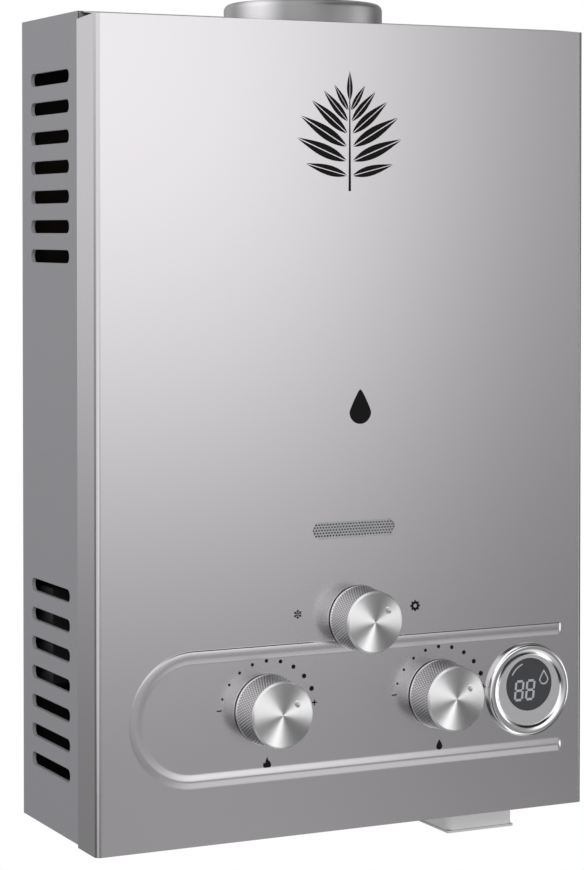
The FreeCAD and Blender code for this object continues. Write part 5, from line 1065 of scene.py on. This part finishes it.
class HEATER_OT_display(bpy.types.Operator):
    """Turn the chrome ring, light the digits and icons of the display, and paint a glowing
    highlight on its lens
    """

    bl_idname = "heater.display"
    bl_label = "Display"

    def execute(self, context):
        self.ring()
        self.digits(context.scene.heater_prints)
        return {"FINISHED"}

    def ring(self):
        outline = [(28.4, -0.8), (30, -0.8), (30, 0), (38, 0), (38, 1.2)]
        outline += arc((35.4, 2.4), (2.6, 2.6), -10, 90, 12)
        outline += arc((34.6, 2.2), (6, 2.8), 90, 152, 12)[1:]
        outline += [(28.8, 3.45), (32.4, 3.45), (32.4, 1.9), (28.4, 1.9)]
        mesh = turned("display_ring", millimetres(outline),
                      (DISPLAY[0], FRONT_Y, DISPLAY[1]), "-Y", 160, sharp=40)
        add_piece(mesh, finish("bezel_chrome"), "casing", "bezel_chrome", "display_bezel")

    def digits(self, settings):
        waves, front, full = 300, -163.4 * MM, rgba(settings.glow)
        # the digits glow, and so does the painted highlight on the lens
        glow = principled(
            "display_digits",
            lambda graph: graph.blend(graph.grain(waves), rgba(settings.glow, 0.9), full),
            lambda graph: graph.grain(waves) * 0.1 + 0.3,
            Emission_Color=full, Emission_Strength=0.25)
        outlines = []
        for across, up, shape in ((-9.3, 0, self.eight()), (1.2, 0, self.eight()),
                                  (14.2, 8, self.flame_ring()), (0, 4.6, self.painted_lens_glint())):
            outlines += moved(shape, (DISPLAY[0] + across * MM, DISPLAY[1] + up * MM))
        mesh = plates("display_digits", outlines, front - PRINT_PROUD, front)
        add_piece(mesh, glow, "casing", "display_dark")

    def eight(self):
        """The seven lit strokes of one slanted figure."""
        wide, tall, stroke, slant, gap = 3.4, 7.6, 1.9, 0.1, 0.75
        strokes = []
        for ends in (((-1, 1), (1, 1)), ((1, 1), (1, 0)), ((1, 0), (1, -1)), ((-1, -1), (1, -1)),
                     ((-1, 0), (-1, -1)), ((-1, 1), (-1, 0)), ((-1, 0), (1, 0))):
            start, end = [Vector((across * wide, up * tall)) for across, up in ends]
            along = (end - start).normalized() * gap
            outline = bar(start + along, end - along, stroke)
            strokes.append([(x + z * slant, z) for x, z in outline])
        return strokes

    def flame_ring(self):
        """The outline of a small flame, as a band of quads."""
        outer = teardrop(4.41, 0.7, 7.56, 4.62, 28)
        outer += outer[:1]
        return ribbon(outer, [(across * 0.74, up * 0.74) for across, up in outer])

    def painted_lens_glint(self):
        """A painted highlight: a short glowing arc near the lens's upper left edge."""
        near, far = [arc((0, 0), (reach, reach), 110, 152, 12) for reach in (17.4, 18.5)]
        return ribbon(near, far)


# ---- print ----

class HEATER_OT_sprig(bpy.types.Operator):
    """Print an upright leafy sprig on the upper part of the cover"""

    bl_idname = "heater.sprig"
    bl_label = "Sprig"

    def execute(self, context):
        height = context.scene.heater_prints.sprig
        foot = Vector((-1 * MM, FOOT_Z + 504 * MM))
        leaf = printed("leaf", self.leaf())
        spots = []
        # Pairs of leaves: share of the height, climb in degrees and size.
        for share, climb, size in ((0.16, 14, 0.8), (0.31, 22, 1.0), (0.46, 30, 1.0),
                                   (0.6, 39, 0.86), (0.73, 48, 0.68), (0.85, 58, 0.5)):
            for side in (-1, 1):
                angle = radians(climb if side > 0 else 180 - climb)
                place = (foot.x + side * 0.5 * MM, 0, foot.y + share * height * 0.78)
                spots.append((place, (0, -angle, 0), (size, 1, size)))
        spots.append(((foot.x, 0, foot.y + height * 0.74), (0, -pi / 2, 0), (0.5, 1, 0.5)))
        mesh = repeated("sprig_leaves", leaf, spots, finish("ink"))
        add_piece(mesh, finish("ink"), "casing", "silver_paint")
        rows = []
        for step in range(13):
            width, rise = (1.1 - 0.7 * step / 12) * MM, height * 0.76 * step / 12
            rows.append(((foot.x - width, foot.y + rise), (foot.x + width, foot.y + rise)))
        stem = ribbon([row[0] for row in rows], [row[1] for row in rows])
        add_piece(printed("sprig_stem", stem), finish("ink"), "casing", "silver_paint")
        return {"FINISHED"}

    def leaf(self):
        """Two halves of a pointed leaf 46 mm long, with the midrib left open."""
        length, start, width, gap = 49 * MM, 0.06, 5.2 * MM, 0.4 * MM
        halves = []
        for side in (-1, 1):
            half = []
            for step in range(17):
                share = step / 16
                bulge = sin(pi * share ** 0.85) * width * (1 - 0.25 * share)
                half.append((length * (start + (1 - start) * share), side * (gap + max(bulge, 0))))
            half += [(length * (start + (1 - start) * step / 4), side * gap) for step in (3, 2, 1)]
            halves.append(half)
        return halves


class HEATER_PT_panel(bpy.types.Panel):
    """Lists the steps that dress the water heater"""

    bl_idname = "HEATER_PT_panel"
    bl_label = "Water Heater"
    bl_space_type = "VIEW_3D"
    bl_region_type = "UI"
    bl_category = "Heater"

    def draw(self, context):
        for operator in OPERATORS:
            self.layout.operator(operator.bl_idname)
        for holder in SETTINGS:
            settings = getattr(context.scene, holder)
            for name in settings.bl_rna.properties.keys():
                if name not in ("rna_type", "name"):
                    self.layout.prop(settings, name)


SETTINGS = {
    "heater_stage": HeaterStageSettings,
    "heater_shell": HeaterShellSettings,
    "heater_controls": HeaterControlSettings,
    "heater_prints": HeaterPrintSettings,
}
OPERATORS = (HEATER_OT_stage, HEATER_OT_finishes, HEATER_OT_cover, HEATER_OT_lid,
             HEATER_OT_louvres, HEATER_OT_collar, HEATER_OT_knobs, HEATER_OT_dials,
             HEATER_OT_display, HEATER_OT_sprig)


def register():
    for kind in (*SETTINGS.values(), *OPERATORS, HEATER_PT_panel):
        bpy.utils.register_class(kind)
    for name, kind in SETTINGS.items():
        setattr(bpy.types.Scene, name, PointerProperty(type=kind))


def unregister():
    for name in SETTINGS:
        delattr(bpy.types.Scene, name)
    for kind in (HEATER_PT_panel, *OPERATORS[::-1], *SETTINGS.values()):
        bpy.utils.unregister_class(kind)


def main():
    register()
    bpy.ops.heater.stage()
    bpy.ops.heater.finishes()
    bpy.ops.heater.cover()
    bpy.ops.heater.lid()
    bpy.ops.heater.louvres()
    bpy.ops.heater.collar()
    bpy.ops.heater.knobs()
    bpy.ops.heater.dials()
    bpy.ops.heater.display()
    bpy.ops.heater.sprig()


if __name__ == "__main__":
    main()
